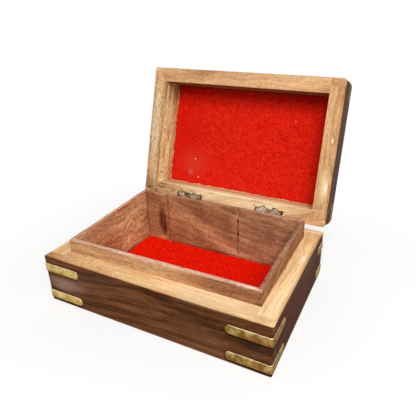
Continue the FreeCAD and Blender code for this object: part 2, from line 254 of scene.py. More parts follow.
def woodMaterial(name, ownLook):
    material, tree, shader = newMaterial(name)
    look = {**woodPlain, **ownLook}
    straight = field(tree, "grain", "Vector")
    drift = cloud(tree, straight, *look["drift"])
    aside = times(tree, calc(tree, "SUBTRACT", drift, 0.5), look["wander"])
    push = addNode(tree, "ShaderNodeCombineXYZ", {1: aside, 2: aside}).outputs[0]
    grain = vectors(tree, "ADD", straight, push)
    broad, streak, fine, fibre = (cloud(tree, grain, *look[k]) for k in ("broad", "streak", "fine", "fibre"))
    fleck = between(tree, cloud(tree, grain, *look["fleck"]), *look["fleckRange"])
    pore = between(tree, cloud(tree, grain, *look["pore"]), *look["poreRange"])
    rings = addNode(tree, "ShaderNodeTexWave",
        {"Vector": vectors(tree, "MULTIPLY", grain, look["rings"]), "Scale": 1.0,
            "Distortion": look["ringWarp"], "Detail": look["ringDetail"], "Detail Scale": look["ringFine"]},
        wave_type="BANDS", bands_direction="DIAGONAL").outputs["Fac"]
    sums = addTimes(tree, broad, look["broadShare"], times(tree, streak, look["streakShare"]))
    sums = addTimes(tree, fine, look["fineShare"], sums)
    sums = addTimes(tree, rings, look["ringShare"], sums)
    figure = between(tree, sums, look["low"], look["high"])
    lines = addTimes(tree, broad, look["bareBroad"], times(tree, streak, look["bareStreak"]))
    lines = addTimes(tree, fine, look["bareFine"], lines)
    bareFigure = between(tree, lines, look["bareLow"], look["bareHigh"])
    ragged = calc(tree, "SUBTRACT", field(tree, "bare"), look["bareRagged"] / 2)
    ragged = addTimes(tree, streak, look["bareRagged"], ragged)
    bareShare = between(tree, ragged, *look["bareRange"])
    colour = blendIn(tree, bareShare, colours(tree, figure, look["outside"]),
        colours(tree, bareFigure, look["bare"]))
    colour = blendIn(tree, 1.0, colour, colours(tree, field(tree, "tone"), look["tones"]), "MULTIPLY")
    poreShare = addTimes(tree, bareShare, look["poreBare"] - look["poreShare"], look["poreShare"])
    colour = blendIn(tree, times(tree, pore, poreShare), colour, look["poreColour"], "MULTIPLY")
    worn = times(tree, field(tree, "worn"), between(tree, streak, *look["wornRange"]))
    colour = blendIn(tree, times(tree, worn, look["wear"]), colour, look["wornColour"])
    seam = field(tree, "seam")  # distance to the nearest strap or into a hinge bed or kerf: grime near a strap, reaching wider below it as painted shadow, pitch in the joint, painted shade in beds and kerfs
    grimeAndShadow = between(tree, seam, look["grimeShadeReach"], 0.0, 0.0, look["grimeShadeShare"])
    colour = blendIn(tree, grimeAndShadow, colour, look["grimeShadeColour"], "MULTIPLY")
    # pitch: dark glue in a strap's joint, and painted shade in the gaps of hinge beds and in kerfs
    pitch = between(tree, addTimes(tree, streak, look["pitchShadeRagged"], seam), *look["pitchShadeRange"])
    colour = blendIn(tree, pitch, colour, look["pitchShadeColour"])
    colour = addMarks(tree, colour, look["marks"])
    fleckShare = times(tree, fleck, field(tree, "fleck"))
    colour = blendIn(tree, fleckShare, colour, look["fleckColour"], "MULTIPLY")
    rough = addTimes(tree, streak, look["streakRough"], look["polish"])
    rough = addTimes(tree, bareShare, look["sawnRough"], rough)
    sawn = times(tree, cloud(tree, grain, *look["saw"]), times(tree, bareShare, look["sawDepth"]))
    height = addTimes(tree, fibre, look["fibreDepth"], times(tree, pore, look["poreDepth"]))
    height = calc(tree, "ADD", height, sawn)
    setInputs(tree, shader, {"Base Color": colour, "Roughness": rough, "Specular IOR Level": look["gloss"],
            "Normal": bumped(tree, height, look["bump"], look["bumpDepth"])})
    return material


plainTones = ((0.0, (1.0, 1.0, 1.0)), (0.4, (0.84, 0.74, 0.68)), (0.7, (0.58, 0.42, 0.36)),
    (1.0, (0.16, 0.08, 0.06)))
pale, hazeAndSheen = (0.93, 0.82, 0.66), (0.46, 0.34, 0.27)
umber, dark, strapShadow = (0.16, 0.08, 0.04), (0.030, 0.016, 0.010), (0.022, 0.010, 0.006)
wallLook = dict(
    outside=((0.0, (0.050, 0.0165, 0.0050)), (0.35, (0.108, 0.0390, 0.0136)), (0.68, (0.170, 0.067, 0.0255)),
        (1.0, (0.260, 0.115, 0.050))),
    bare=((0.0, (0.66, 0.390, 0.180)), (0.35, (0.86, 0.585, 0.300)), (0.7, (0.94, 0.690, 0.380)),
        (1.0, (0.99, 0.80, 0.49))),
    tones=plainTones, poreColour=(0.45, 0.33, 0.26), wornColour=(0.22, 0.11, 0.065),
    marks=(
        # hazy polish with a painted sheen between the left straps, in place of a reflection
        (-61, -51, 16.2, 21, 4, 5.2, 0, 0.74, hazeAndSheen),
        (-64.5, -51, 12.6, 13, 4, 3.4, 0, 0.5, hazeAndSheen),
        # the front rim lighter towards the right: partly the wood's colour, partly painted light
        (38, -45.5, 33, 42, 8, 2, 0.3, 0.35, (1, 0.82, 0.55)),
        (35, -51, 13, 30, 4, 10, 0.1, 0.35, (0.25, 0.112, 0.046)),
        # painted shadow under the front right upper strap, on the front and round the corner
        (66, -51, 16.6, 24, 4, 5, 0, 0.8, strapShadow),
        (76, -48, 17.5, 4, 22, 5, 0, 0.7, strapShadow),
        (-60, -51, 20, 27, 4, 16, 0.2, 0.42, (0.215, 0.098, 0.066)),
        (-38, -51, 26, 13, 4, 5.5, 0.1, 0.5, (0.07, 0.049, 0.04)),
        (11.5, -51, 29, 14, 4, 3.2, 0.1, 0.7, dark),
        (40, -51, 21, 17, 4, 2.6, 0.1, 0.7, dark),
        (-28, -51, 29, 16, 4, 5, 0.1, 0.3, (0.1, 0.062, 0.045)),
        # painted reflection: the right wall greyer near its rim
        (76, 18, 28, 3, 48, 8, 0.1, 0.4, (0.115, 0.08, 0.06)),
        (72.4, 12.5, 33, 1.7, 4.6, 3, 0.55, 0.9, pale),
        (71.4, 9, 33, 1, 2.6, 3, 0.4, 0.7, pale),
        (65.6, -1.7, 33, 0.55, 0.8, 3, 0.4, 0.9, (0.16, 0.07, 0.03))))
lidLook = dict(
    outside=((0.0, (0.050, 0.0240, 0.0140)), (0.35, (0.084, 0.044, 0.028)), (0.68, (0.120, 0.066, 0.044)),
        (1.0, (0.180, 0.105, 0.072))),
    bare=((0.0, (0.50, 0.265, 0.120)), (0.35, (0.70, 0.430, 0.210)), (0.7, (0.79, 0.520, 0.275)),
        (1.0, (0.87, 0.63, 0.37))),
    tones=plainTones, poreColour=(0.36, 0.24, 0.18), poreShare=0.6, poreBare=0.30,
    pore=((0.30, 1.7, 1.7), 2.0, 0.5, 0.15), wornColour=(0.24, 0.14, 0.09),
    marks=(
        # painted light: the back rail's inner face made pale
        (0, 40.2, 37, 90, 1.6, 10, 0.5, 0.75, (0.98, 0.9, 0.58)),
        (5, 44.5, 33.3, 62, 7, 2.5, 0.2, 1, (1.2, 1.3, 1.36), "MULTIPLY"),
        (5, 44.5, 33.3, 62, 7, 2.5, 0.2, 0.36, (1, 0.85, 0.55)),
        (71, 23, 33.3, 5, 18, 2.5, 0.1, 0.55, (0.98, 0.78, 0.45)),
        (-71, -5, 33.3, 5.5, 50, 2.5, 0.3, 0.4, (1, 0.88, 0.62)),
        # painted light: the left stile's inner face lighter and yellower, against the felt's red bounce
        (-65.3, 0, 43, 1.4, 60, 13, 0.6, 1, (1.26, 1.76, 1.76), "MULTIPLY"),
        (-65.4, 0, 33.3, 0.7, 60, 0.8, 0.1, 0.6, umber),
        (70, 37.5, 33.3, 4, 3.4, 3, 0.1, 0.45, (0.46, 0.23, 0.13)),
        (-71, 43, 33.3, 6, 7, 4, 0.15, 0.7, (0.3, 0.145, 0.078)),
        (-73.5, 38.6, 33.3, 0.9, 9, 4, 0, 0.75, (0.13, 0.06, 0.03)),
        (-69, 45.4, 33.3, 5.5, 0.9, 4, 0.1, 0.8, (0.12, 0.06, 0.035)),
        (-66.8, 41, 33.3, 0.8, 5, 4, 0, 0.7, (0.14, 0.065, 0.035)),
        (-60, 44, 33.3, 9, 1.1, 4, 0, 0.75, (0.14, 0.065, 0.033)),
        (-49, 44.5, 33.3, 5, 2.2, 4, 0, 0.6, (0.3, 0.15, 0.075)),
        (-23.4, 44.9, 33.3, 2, 0.9, 3, 0.1, 0.85, (0.12, 0.055, 0.03)),
        (-21.5, 46.6, 33.3, 1, 2, 3, 0, 0.7, (0.16, 0.075, 0.04)),
        (-41, 44.3, 33.3, 2.6, 0.9, 3, 0.1, 0.85, (0.1, 0.045, 0.025)),
        (-33, 43.2, 33.3, 7, 0.6, 3, 0, 0.55, (0.2, 0.095, 0.05)),
        (22, 44.6, 33.3, 1.6, 0.8, 3, 0.1, 0.75, (0.14, 0.065, 0.035)),
        (45.5, 45.6, 33.3, 1.3, 0.7, 3, 0.1, 0.7, (0.16, 0.075, 0.04)),
        (-14, 42, 33.3, 6, 1.6, 4, 0, 0.35, (0.4, 0.21, 0.11)),
        (24, 41.8, 33.3, 8, 1.8, 4, 0, 0.45, (0.42, 0.22, 0.13)),
        (72.2, -9.1, 33.3, 0.9, 2.4, 3, 0.4, 0.95, pale),
        (72.4, 23.8, 33.3, 1.6, 6.2, 3, 0.5, 0.9, pale),
        (75, 32.3, 33.3, 0.35, 3, 3, 0.2, 0.8, umber),
        (65.9, 41.9, 33.3, 0.45, 0.6, 3, 0.3, 1, dark),
        (65, 46.3, 33.3, 0.45, 0.6, 3, 0.3, 1, dark),
        (-75.2, 4.6, 33.3, 0.9, 1.1, 3, 0.4, 1, (0.05, 0.05, 0.05)),
        (-72.2, 46, 33.3, 3.4, 1.6, 4, 0.1, 0.85, (0.1, 0.055, 0.03)),
        (-75.4, 44.4, 33.3, 1.6, 2.6, 4, 0.1, 0.8, (0.1, 0.055, 0.03)),
        (-59.6, 41.4, 33.3, 4.2, 0.8, 4, 0, 0.8, (0.14, 0.07, 0.035)),
        (-65.4, 33, 39.5, 4, 2.2, 3.4, 0, 0.6, umber),
        (-64.6, 46.6, 33.3, 0.5, 4.4, 4, 0, 0.8, dark)))
linerLook = dict(
    outside=((0.0, (0.44, 0.230, 0.115)), (0.35, (0.61, 0.355, 0.180)), (0.7, (0.71, 0.455, 0.240)),
        (1.0, (0.81, 0.580, 0.325))),
    bare=((0.0, (0.50, 0.300, 0.195)), (0.5, (0.64, 0.41, 0.28)), (1.0, (0.76, 0.54, 0.40))),
    tones=((0.0, (1.0, 1.0, 1.0)), (0.25, (0.92, 0.78, 0.74)), (0.5, (0.68, 0.54, 0.50)),
        (1.0, (0.32, 0.235, 0.21))),
    poreColour=(0.40, 0.28, 0.22), wornColour=(0.72, 0.52, 0.40), wear=0.12, polish=0.42, sawnRough=0.0,
    broadShare=0.34, low=0.40, high=0.68, streak=((0.030, 1.5, 1.5), 4.0, 0.6, 0.1),
    marks=(
        # painted light: the left liner's inner face lighter
        (-62.4, 16, 22, 3, 28, 26, 0.3, 1, (1.2, 1.26, 1.22), "MULTIPLY"),
        (32, 37.4, 24, 46, 3, 28, 0.4, 1, (1.08, 1.18, 1.36), "MULTIPLY"),
        (-62.4, -16, 26, 3, 26, 20, 0.3, 1, (0.98, 0.8, 0.78), "MULTIPLY"),
        (-63.9, 0, 42.8, 1.5, 42, 2.6, 0.3, 0.55, (0.8, 0.56, 0.3)),
        # painted highlight on the front liner's top near its right end
        (56, -38.2, 42.8, 13, 1.1, 1.4, 0.1, 0.6, (1, 0.93, 0.88)),
        (-65, -39.1, 38, 0.7, 0.9, 9, 0.2, 0.85, (0.07, 0.03, 0.018)),
        (-48, 37.4, 21.5, 5, 3, 17, 0.4, 0.88, (0.15, 0.044, 0.014)),
        (-46.2, 37.4, 14.5, 2.6, 3, 9, 0.1, 0.8, (0.062, 0.017, 0.006)),
        (-49.6, 37.4, 22, 0.9, 3, 11, 0.1, 0.75, (0.05, 0.016, 0.007)),
        (-62.4, 37.4, 24, 1.1, 1.1, 26, 0, 0.75, (0.05, 0.025, 0.015)),
        (-62.4, 0, 4.8, 1, 42, 1.8, 0.2, 0.8, (0.05, 0.02, 0.012)),
        (0, 37.4, 4.8, 66, 1, 1.7, 0.2, 0.6, (0.06, 0.03, 0.018)),
        # the front liner's top lighter: its pale sawn colour with a painted highlight
        (0, -37.9, 42, 76, 1.5, 2.4, 0.3, 0.4, (0.88, 0.68, 0.56)),
        (-49.8, 37.4, 6.2, 4.2, 3, 2.6, 0.3, 0.85, (0.62, 0.36, 0.15)),
        (-57, 37.4, 22, 4.6, 3, 19, 0.2, 0.4, (0.44, 0.225, 0.095)),
        (16.7, 37.4, 38.5, 0.9, 3, 3.6, 0.1, 0.85, (0.74, 0.52, 0.3)),
        (11.5, 37.4, 40.6, 0.8, 3, 1, 0.2, 0.7, (0.7, 0.46, 0.26)),
        (-42.3, 37.4, 41.6, 1.3, 3, 1.6, 0.1, 0.8, (0.72, 0.5, 0.3)),
        (44.3, 37.4, 26.2, 2.2, 3, 2, 0, 0.5, (0.03, 0.014, 0.01)),
        (-47.3, -39.1, 34.6, 1, 3, 0.7, 0.2, 0.8, (0.1, 0.04, 0.02)),
        # painted shade low on the front liner's right end, where it meets the rim
        (64, -39.1, 34, 5, 4, 2, 0, 0.6, (0.07, 0.03, 0.018))))
wallWood = woodMaterial("wallWood", wallLook)
lidWood = woodMaterial("lidWood", lidLook)
linerWood = woodMaterial("linerWood", linerLook)
print("wood materials made")


# Boards. Each is one closed loop of rows (outer face, rim, inner face, underside) carried along stations:
# u runs along the board, v into it from its outer face, h away from its rim.

# rimWaves and innerWaves are the lengths in mm of the waver in a board's rounds
stationSize = dict(step=1.0, bendSteps=9, clear=0.2, pair=0.05, flush=0.02, hair=(0.0, 0.05, 0.12, 0.22),
    rimWaves=(6.0, 1.7), innerWaves=5.0)


def longStations(half, shoulder, thick, rebate, dense, rounds):  # straight run, then a quarter turn at each end
    count, pair, flush = stationSize["bendSteps"], stationSize["pair"], stationSize["flush"]
    bend = np.radians(np.linspace(0, 90, count + 1)[1:])
    low, high = -half + rounds[0], half - rounds[1]
    u = join([np.arange(low, high, stationSize["step"]), dense, [low, high]])
    u = u[np.abs(np.abs(u) - shoulder) > stationSize["clear"]]
    u = np.unique(np.round(join([u, [-shoulder - pair, -shoulder, shoulder, shoulder + pair]]), 3))
    none, ones = np.zeros(len(u)), np.ones(count)
    angle = join([bend[::-1], none, bend])
    side = join([-ones, none, ones])
    turn = join([rounds[0] * ones, none, rounds[1] * ones])
    u = join([low * ones, u, high * ones])
    lapped = np.abs(u) > shoulder + flush
    return dict(u=u, angle=angle, side=side, turn=turn, thick=np.where(lapped, boxSize["lap"], thick),
        rebate=np.where(lapped, flush, rebate))


def shortStations(low, high, thick, rebate, panelLow, panelHigh, dense=()):  # square ends, eased by a hair
    hair, pair, flush = np.array(stationSize["hair"]), stationSize["pair"], stationSize["flush"]
    u = join([np.arange(low + 1, high - 0.9, stationSize["step"]), dense, low + hair, high - hair])
    if rebate > flush:
        u = join([u, [panelLow - pair, panelLow, panelHigh, panelHigh + pair]])
    u = np.unique(np.round(u, 3))
    past = (u < panelLow - flush) | (u > panelHigh + flush)
    zero = np.zeros(len(u))
    return dict(u=u, angle=zero, side=zero, turn=zero, thick=zero + thick,
        rebate=np.where(past, flush, max(rebate, flush)))


loopSize = dict(footRows=7, rimRows=6, margin=0.3, step=0.02, underShares=(0.25, 0.5, 0.75), underBare=0.4)


# the loop at every station: round foot, outer face, round, rim, round, inner face and underside
def boardGrid(stations, height, panel, foot, rimEdge, innerEdge, rimShares, faceStep=1.0):
    u0, angle, side, turn = (stations[k] for k in ("u", "angle", "side", "turn"))
    thick, rebate = stations["thick"], stations["rebate"]
    one = np.ones(len(u0))
    margin, ledge = loopSize["margin"], height - panel
    phi = np.radians(np.linspace(0, 90, loopSize["footRows"]))[:, None]  # round of the foot
    psi = np.radians(np.linspace(0, 90, loopSize["rimRows"]))[:, None]  # rounds of the rim
    face = np.arange(height - foot - margin, rimEdge.max() + margin + 0.05, -faceStep)
    face = join([face, [ledge, ledge + loopSize["step"], rimEdge.max() + margin]])
    face = np.unique(np.round(face, 3))[::-1][:, None]
    # outer face from foot to rim: d is how far a row stands in from the flat outer plane
    h = join([(height - foot + foot * np.cos(phi)) * one, face * one, rimEdge * (1 - np.sin(psi))])
    d = join([foot * (1 - np.sin(phi)) * one, 0 * face * one, rimEdge * (1 - np.cos(psi))])
    u = u0 + side * (turn - d) * np.sin(angle)
    v = np.where(angle > 0, turn - (turn - d) * np.cos(angle), d)
    # inner face from rim to underside, stepping back for the panel
    hIn = join([innerEdge * (1 - np.cos(psi)), h[:-len(psi)][::-1]])
    deep = thick - np.where(hIn > ledge + loopSize["step"] / 2, rebate, 0.0)
    vIn = join([thick - innerEdge * (1 - np.sin(psi)), deep[len(psi):]])
    shares = np.asarray(rimShares)[:, None]
    vRim, uRim = v[-1] * (1 - shares) + vIn[0] * shares, u[-1] + 0 * shares
    low = np.array(loopSize["underShares"])[:, None]
    vLow, uLow = vIn[-1] * (1 - low) + v[0] * low, u[0] + 0 * low
    nA, nB, nE = len(h), len(shares), len(low)  # rows of each face, of the rim and of the underside
    grid = dict(u=join([u, uRim, u[::-1], uLow]), v=join([v, vRim, vIn, vLow]),
        h=join([h, 0 * uRim, hIn, height + 0 * uLow]), counts=(nA, nB, nE))
    ramp = np.linspace(0, 1, len(psi))
    bare = join([np.zeros(nA - len(psi)), ramp, np.ones(nB + nA), np.full(nE, loopSize["underBare"])])
    worn = join([np.linspace(1, 0, len(phi)), np.zeros(nA - len(phi) - len(psi)), np.ones(len(psi)),
            np.zeros(nB), np.ones(len(psi)), np.zeros(nA - len(psi) + nE)])
    grid["bare"] = bare[:, None] * one
    grid["bare"][nA + nB:, [0, -1]] = 0.0  # the sawn ends show the polished outside
    inRebate = grid["h"] > ledge + loopSize["step"] / 2  # and so does the panel's rebate
    grid["bare"] = np.where(inRebate, 0.0, grid["bare"])
    grid["worn"] = worn[:, None] * one
    return grid


def boardFaces(grid):  # the loop's quads, and a strip of quads across each end
    nA, nB, nE = grid["counts"]
    rows, stations = grid["u"].shape
    faces = gridQuads(rows, stations, closeRows=True).tolist()
    outer = np.arange(nA)
    inner = nA + nB + nA - 1 - outer
    for s in (0, stations - 1):
        a, b = outer * stations + s, inner * stations + s
        strip = np.stack([a[1:-2], a[2:-1], b[2:-1], b[1:-2]], -1)
        rim = (np.arange(nA, nA + nB) * stations + s).tolist()
        under = (np.arange(rows - nE, rows) * stations + s).tolist()
        faces += strip.tolist()
        faces.append([int(a[-2]), int(a[-1])] + rim + [int(b[-1]), int(b[-2])])
        faces.append([int(b[1]), int(b[0])] + under + [int(a[0]), int(a[1])])
    return faces


def boardPlace(side, origin, u, v):  # from a board's own u and v to x and y, for each side of a frame
    spots = dict(front=(u, origin + v), back=(-u, origin - v), left=(origin + v, -u), right=(origin - v, u))
    return spots[side]


strapSize = dict(half=3.0, endRound=2.7, proud=0.45, seat=0.54, pillow=1.1, seamNear=0.3, seamFarShadow=1.1,
    crown=0.14, sunk=0.02, edgeWaver=(0.012, 2.5), dents=(0.05, 3.0), drift=(0.06, 12.0),  # depth, length
    rows=23, bendRows=14, step=0.7, backRows=(0.97, 0.5, -0.5, -0.97), sharp=50.0,
    longLeg=26.5, sideLegs=dict(front=19.0, back=14.0, lid=15.5), pinIn=4.5,
    upper=24.3, lower=5.3, lid=48.8,  # heights of the straps' middles on the shut box
    slip=dict(front_left=0.9, front_right=-1.1, back_left=0.2, back_right=-0.5))
farOff = 9.0  # stands for no strap near


def strapSeam(u, h, straps):  # signed distance to the nearest strap's round-ended outline
    best, r = np.full(u.shape, farOff), strapSize["endRound"]
    for end, start, level in straps:  # end of the board, how far along the leg starts, height of its middle
        qx = r - (u * end - start)
        # the far side reaches wider, below a base strap: painted shadow under the strap
        qy = np.abs(h - level) - np.where(h > level, strapSize["seamFarShadow"], strapSize["seamNear"])
        gap = np.hypot(np.maximum(qx, 0), np.maximum(qy, 0)) + np.minimum(np.maximum(qx, qy), 0) - r
        best = np.minimum(best, gap)
    return best


# depth and length in mm of the waves in a board's face and in its grain
boardFigure = dict(swell=(0.05, 13.0), ripple=(0.025, 4.0), bend=(1.6, 38.0), fineBend=(0.5, 11.0),
    throughBend=(1.0, 30.0), tilt=0.03, fleck=0.40, apart=211.7)
rimBand = 0.6  # rows nearer to the rim than this belong to it


def waves(noise, key, *at):  # one of those waves, by its name
    depth, length = boardFigure[key]
    return depth * noise(*at, length)


# a board's loop put in place, with its grain as a coordinate that bends along it
def finishBoard(name, grid, side, origin, level, up, body, material, nodes, look):
    u, v, h = grid["u"], grid["v"], grid["h"]
    nA, nB = grid["counts"][:2]
    seed, rim = look["seed"], slice(nA, nA + nB)
    outer = np.arange(len(u))[:, None] < nA
    swell = waves(patches, "swell", u, h, seed) + waves(patches, "ripple", u, h, seed + 1)
    x, y = boardPlace(side, origin, u, v + np.where(outer, np.abs(swell), 0.0))
    shut = np.stack([x, y, level + up * h], -1) + np.array(look.get("shift", (0, 0, 0)))
    across = h + look.get("tilt", boardFigure["tilt"]) * u
    across = across + waves(waver, "bend", u, seed + 2) + waves(waver, "fineBend", u, seed + 3)
    through = v + waves(waver, "throughBend", u, seed + 4)
    through[rim] += look.get("slope", 0.0) * u[rim]  # only the rim's grain runs aslant
    if "swirl" in look:
        across = across + look["swirl"](u, h)
    if "arch" in look:
        through[rim] += look["arch"](u[rim])
    grain = np.stack([u, across, through], -1) + boardFigure["apart"] * seed
    seam = np.where(outer, strapSeam(u, h, look.get("straps", ())), farOff)
    # hinge beds and kerfs darken through the seam: painted shade in those hollows, partly dirt and tarnish
    seam = np.minimum(seam, np.interp(grid.get("bed", 0.0 * u), [0.05, 0.35, 1.0], [farOff, 0.5, 0.15]))
    fleck = look.get("fleck", lambda u, v, h: boardFigure["fleck"])
    fields = dict(grain=grain.reshape(-1, 3), shut=shut.reshape(-1, 3), bare=grid["bare"].ravel(),
        worn=grid["worn"].ravel(), seam=seam.ravel(), tone=(look["tone"](u, v, h) + 0 * u).ravel(),
        fleck=(fleck(u, v, h) + 0 * u).ravel())
    return makePiece(name, shut.reshape(-1, 3), boardFaces(grid), body, material, nodes, fields)


hingeAt = 33.6
hingeBed = dict(halfWidth=11.0, reach=5.45, lobeAt=3.9, lobe=2.95, lobeApart=4.75, depth=1.0,
    nicks=(0.20, 0.9), chips=(0.34, 2.3), wall=(0.14, -0.10), dropShare=0.985)  # its ragged outline


def mortise(grid, places):  # the hinge beds: the rim drops by the leaf's thickness inside a lobed outline
    u, v, h = grid["u"], grid["v"], grid["h"]
    best, depth = np.full(u.shape, farOff), hingeBed["depth"]
    for place in places:
        strip = np.maximum(np.abs(u - place) - hingeBed["halfWidth"], v - hingeBed["reach"])
        lobes = np.hypot(np.abs(u - place) - hingeBed["lobeApart"], v - hingeBed["lobeAt"]) - hingeBed["lobe"]
        best = np.minimum(best, np.minimum(strip, lobes))
    (nick, nickWide), (chip, chipWide) = hingeBed["nicks"], hingeBed["chips"]
    ragged = best + nick * patches(u, v, 77, nickWide) + chip * patches(u, v, 78, chipWide)
    inside = ease(*hingeBed["wall"], ragged)
    grid["h"] = np.where(h < depth, h + inside * (depth - h) * hingeBed["dropShare"], h)
    # bed: where the wood darkens, as painted shade in the gaps round the leaf
    grid["bed"] = inside * ease(1.5, 1.05, h)


denseRuns = join([np.arange(s * hingeAt - 12.6, s * hingeAt + 12.6, 0.28) for s in (-1, 1)])
coarseShares = join([[0.03], np.linspace(0.1, 0.9, 9), [0.97]])
fineShares = join([np.linspace(0.012, 0.72, 34), [0.79, 0.86, 0.93, 0.985]])
sideOrigin = dict(front=-halfDeep, back=halfDeep, left=-halfLong, right=halfLong)
longSides = ("front", "back")


def endRounds(side, rounds):  # the roundings at the low and high end of a long board
    order = ("left", "right") if side == "front" else ("right", "left")
    return [rounds["%s_%s" % (side, end)] for end in order]


def legStart(side, leg):  # how far along its board a strap's leg starts
    return halfLong - strapSize["longLeg"] if side in longSides else halfDeep - leg


def wallStraps(side):  # the straps on one side: end of the board, where the leg starts, level
    ends = dict(front=(("front_left", -1), ("front_right", 1)), back=(("back_left", 1), ("back_right", -1)),
        left=(("back_left", -1), ("front_left", 1)), right=(("front_right", -1), ("back_right", 1)))
    found = []
    for corner, end in ends[side]:
        start = legStart(side, strapSize["sideLegs"][corner.split("_")[0]])
        found += [(end, start, boxSize["baseTop"] - strapSize["upper"] - strapSize["slip"][corner]),
            (end, start, boxSize["baseTop"] - strapSize["lower"])]
    return found


def lidStraps(side):  # the same for the lid, which has one strap at each corner
    start = legStart(side, strapSize["sideLegs"]["lid"])
    return [(end, start, strapSize["lid"] - boxSize["lidRim"]) for end in (-1, 1)]


def frameBoard(side, look, plan):  # one board of a frame: stations, loop of rows, hinge beds, straps
    thick, rebate, back = look.get("thick", plan["thick"]), boxSize["ledge"], side == "back"
    if side in longSides:
        stations = longStations(halfLong, plan["shoulder"], thick, rebate, denseRuns if back else [],
            endRounds(side, plan["rounds"]))
    else:
        low, high = plan["panelReach"]
        reach = (-high, -low) if side == "left" else (low, high)
        end = halfDeep - boxSize["lapRoom"]
        stations = shortStations(-end, end, thick, rebate, *reach)
    u0, seed, rim, inner = stations["u"], look["seed"], plan["rimEdge"], plan["innerEdge"]
    slow, quick = stationSize["rimWaves"]
    rimEdge = rim[0] + rim[1] * waver(u0, seed + 40, slow) + rim[2] * waver(u0, seed + 41, quick)
    innerEdge = inner[0] + inner[1] * waver(u0, seed + 42, stationSize["innerWaves"])
    grid = boardGrid(stations, plan["height"], plan["panel"], plan["foot"], rimEdge, innerEdge,
        fineShares if back else coarseShares)
    if back:
        mortise(grid, (-hingeAt, hingeAt))
    look["straps"] = plan["straps"](side)
    node = plan["names"][side]
    finishBoard(node + "_dressed", grid, side, sideOrigin[side], plan["level"], plan["up"], plan["body"],
        plan["material"], [node], look)


wallPlan = dict(thick=11.0, shoulder=boxSize["trayHalf"], rounds=baseRound, straps=wallStraps,
    panelReach=(boxSize["trayFront"] - boxSize["ledge"], boxSize["trayBack"] + boxSize["ledge"]),
    rimEdge=(0.24, 0.09, 0.07), innerEdge=(0.16, 0.05), foot=0.8,  # the rounds and their waver
    height=boxSize["baseTop"], panel=boxSize["bottom"], level=boxSize["baseTop"], up=-1,
    body="base", material=wallWood, names={s: "base_%s_wall" % s for s in sideOrigin})
wallSettings = dict(
    front=dict(seed=3, thick=11.9254, tilt=0.045,
        # the rim darker towards the left: partly the wood's colour, partly painted light falloff
        tone=lambda u, v, h: np.where(h < rimBand, 0.48 - 0.46 * ease(-66, 20, u) + 0.40 * ease(1.5, 0.1, v)
        + 0.20 * ease(-52, -76, u), 0.05),
        fleck=lambda u, v, h: np.where(h < rimBand, 0.20 + 0.45 * ease(10, -50, u), 0.40)),
    back=dict(seed=5, tone=lambda u, v, h: 0.12 + 0.1 * waver(u, 8, 30)),
    left=dict(seed=7, tone=lambda u, v, h: 0.30 + 0.1 * waver(u, 9, 25)),
    right=dict(seed=9, fleck=lambda u, v, h: 0.15,
        # the outer face darker: partly the wood's tone, partly painted shade on this side
        tone=lambda u, v, h: np.where(h < rimBand, 0.60 * ease(3.0, 0.2, v), 0.64) + 0.1 * ease(25, 45, u)))
for side, look in wallSettings.items():
    frameBoard(side, look, wallPlan)
print("base walls made")


archSize = dict(height=7.5, at=54.0, width=9.0, rate=1.9, shade=0.50, stray=(0.5, 3.0), start=(38, 46))


def archRise(u):  # how far the grain arches over near the left hinge
    return archSize["height"] * np.exp(-((u - archSize["at"]) / archSize["width"]) ** 2)


def archLines(u, v):  # dark lines along the arches, about 3.3 mm apart
    stray, length = archSize["stray"]
    lines = np.sin(archSize["rate"] * (v + archRise(u) + stray * patches(u, v, 151, length)))
    return archSize["shade"] * ease(0.25, 1.0, lines) * ease(*archSize["start"], u)


lidInside = halfLong - boxSize["lidRail"]
lidDeep = halfDeep - boxSize["lidRail"] + boxSize["ledge"]
lidPlan = dict(thick=boxSize["lidRail"], shoulder=lidInside, rounds=lidRound, straps=lidStraps,
    panelReach=(-lidDeep, lidDeep), rimEdge=(0.32, 0.11, 0.09), innerEdge=(0.20, 0.06), foot=1.05,
    height=boxSize["lidHeight"], panel=boxSize["top"], level=boxSize["lidRim"], up=1,
    body="lid", material=lidWood,
    names=dict(front="lid_front_rail", back="lid_back_rail", left="lid_left_stile", right="lid_right_stile"))
lidSettings = dict(
    front=dict(seed=13, slope=0.05, arch=lambda u: 1.8 * waver(u, 141, 17.0), fleck=lambda u, v, h: 0.4,
        # the inner face away from the rim is dark: painted shade under the rail
        tone=lambda u, v, h: np.where((v > 6) & (h > 0.9), 0.80, 0.20 + 0.35 * (u > lidInside + 0.02)
        + 0.08 * waver(u, 15, 20))),
    back=dict(seed=15, slope=0.30, arch=lambda u: archRise(u) - 0.30 * np.maximum(u - 40, 0),
        fleck=lambda u, v, h: 0.2 + 0.7 * ease(36, 50, u),
        tone=lambda u, v, h: 0.04 + 0.25 * (u < -lidInside - 0.02) + 0.16 * ease(50, 66, u)
        + 0.06 * waver(u, 16, 20) + archLines(u, v) * (h < rimBand) * (v > 0.2)),
    left=dict(seed=17, fleck=lambda u, v, h: 0.85,
        tone=lambda u, v, h: np.where(v > 9.5, 0.66 * ease(0.10, 0.65, patches(u / 7.0, h, 172, 2.3)),
        0.45 * ease(0.2, 0.9, patches(u / 9.0, v + h, 171, 1.0)))),
    right=dict(seed=19, tone=lambda u, v, h: 0.05 + 0.2 * ease(30, 45, np.abs(u))
        + 0.42 * ease(3.0, 0.3, v + 1.2 * patches(u, v, 173, 6.0)) * (h < rimBand)))
for side, look in lidSettings.items():
    frameBoard(side, look, lidPlan)
print("lid frame made")


# Liner: thin mitred boards with round top edges; saw kerfs for dividers are cut in the long ones.

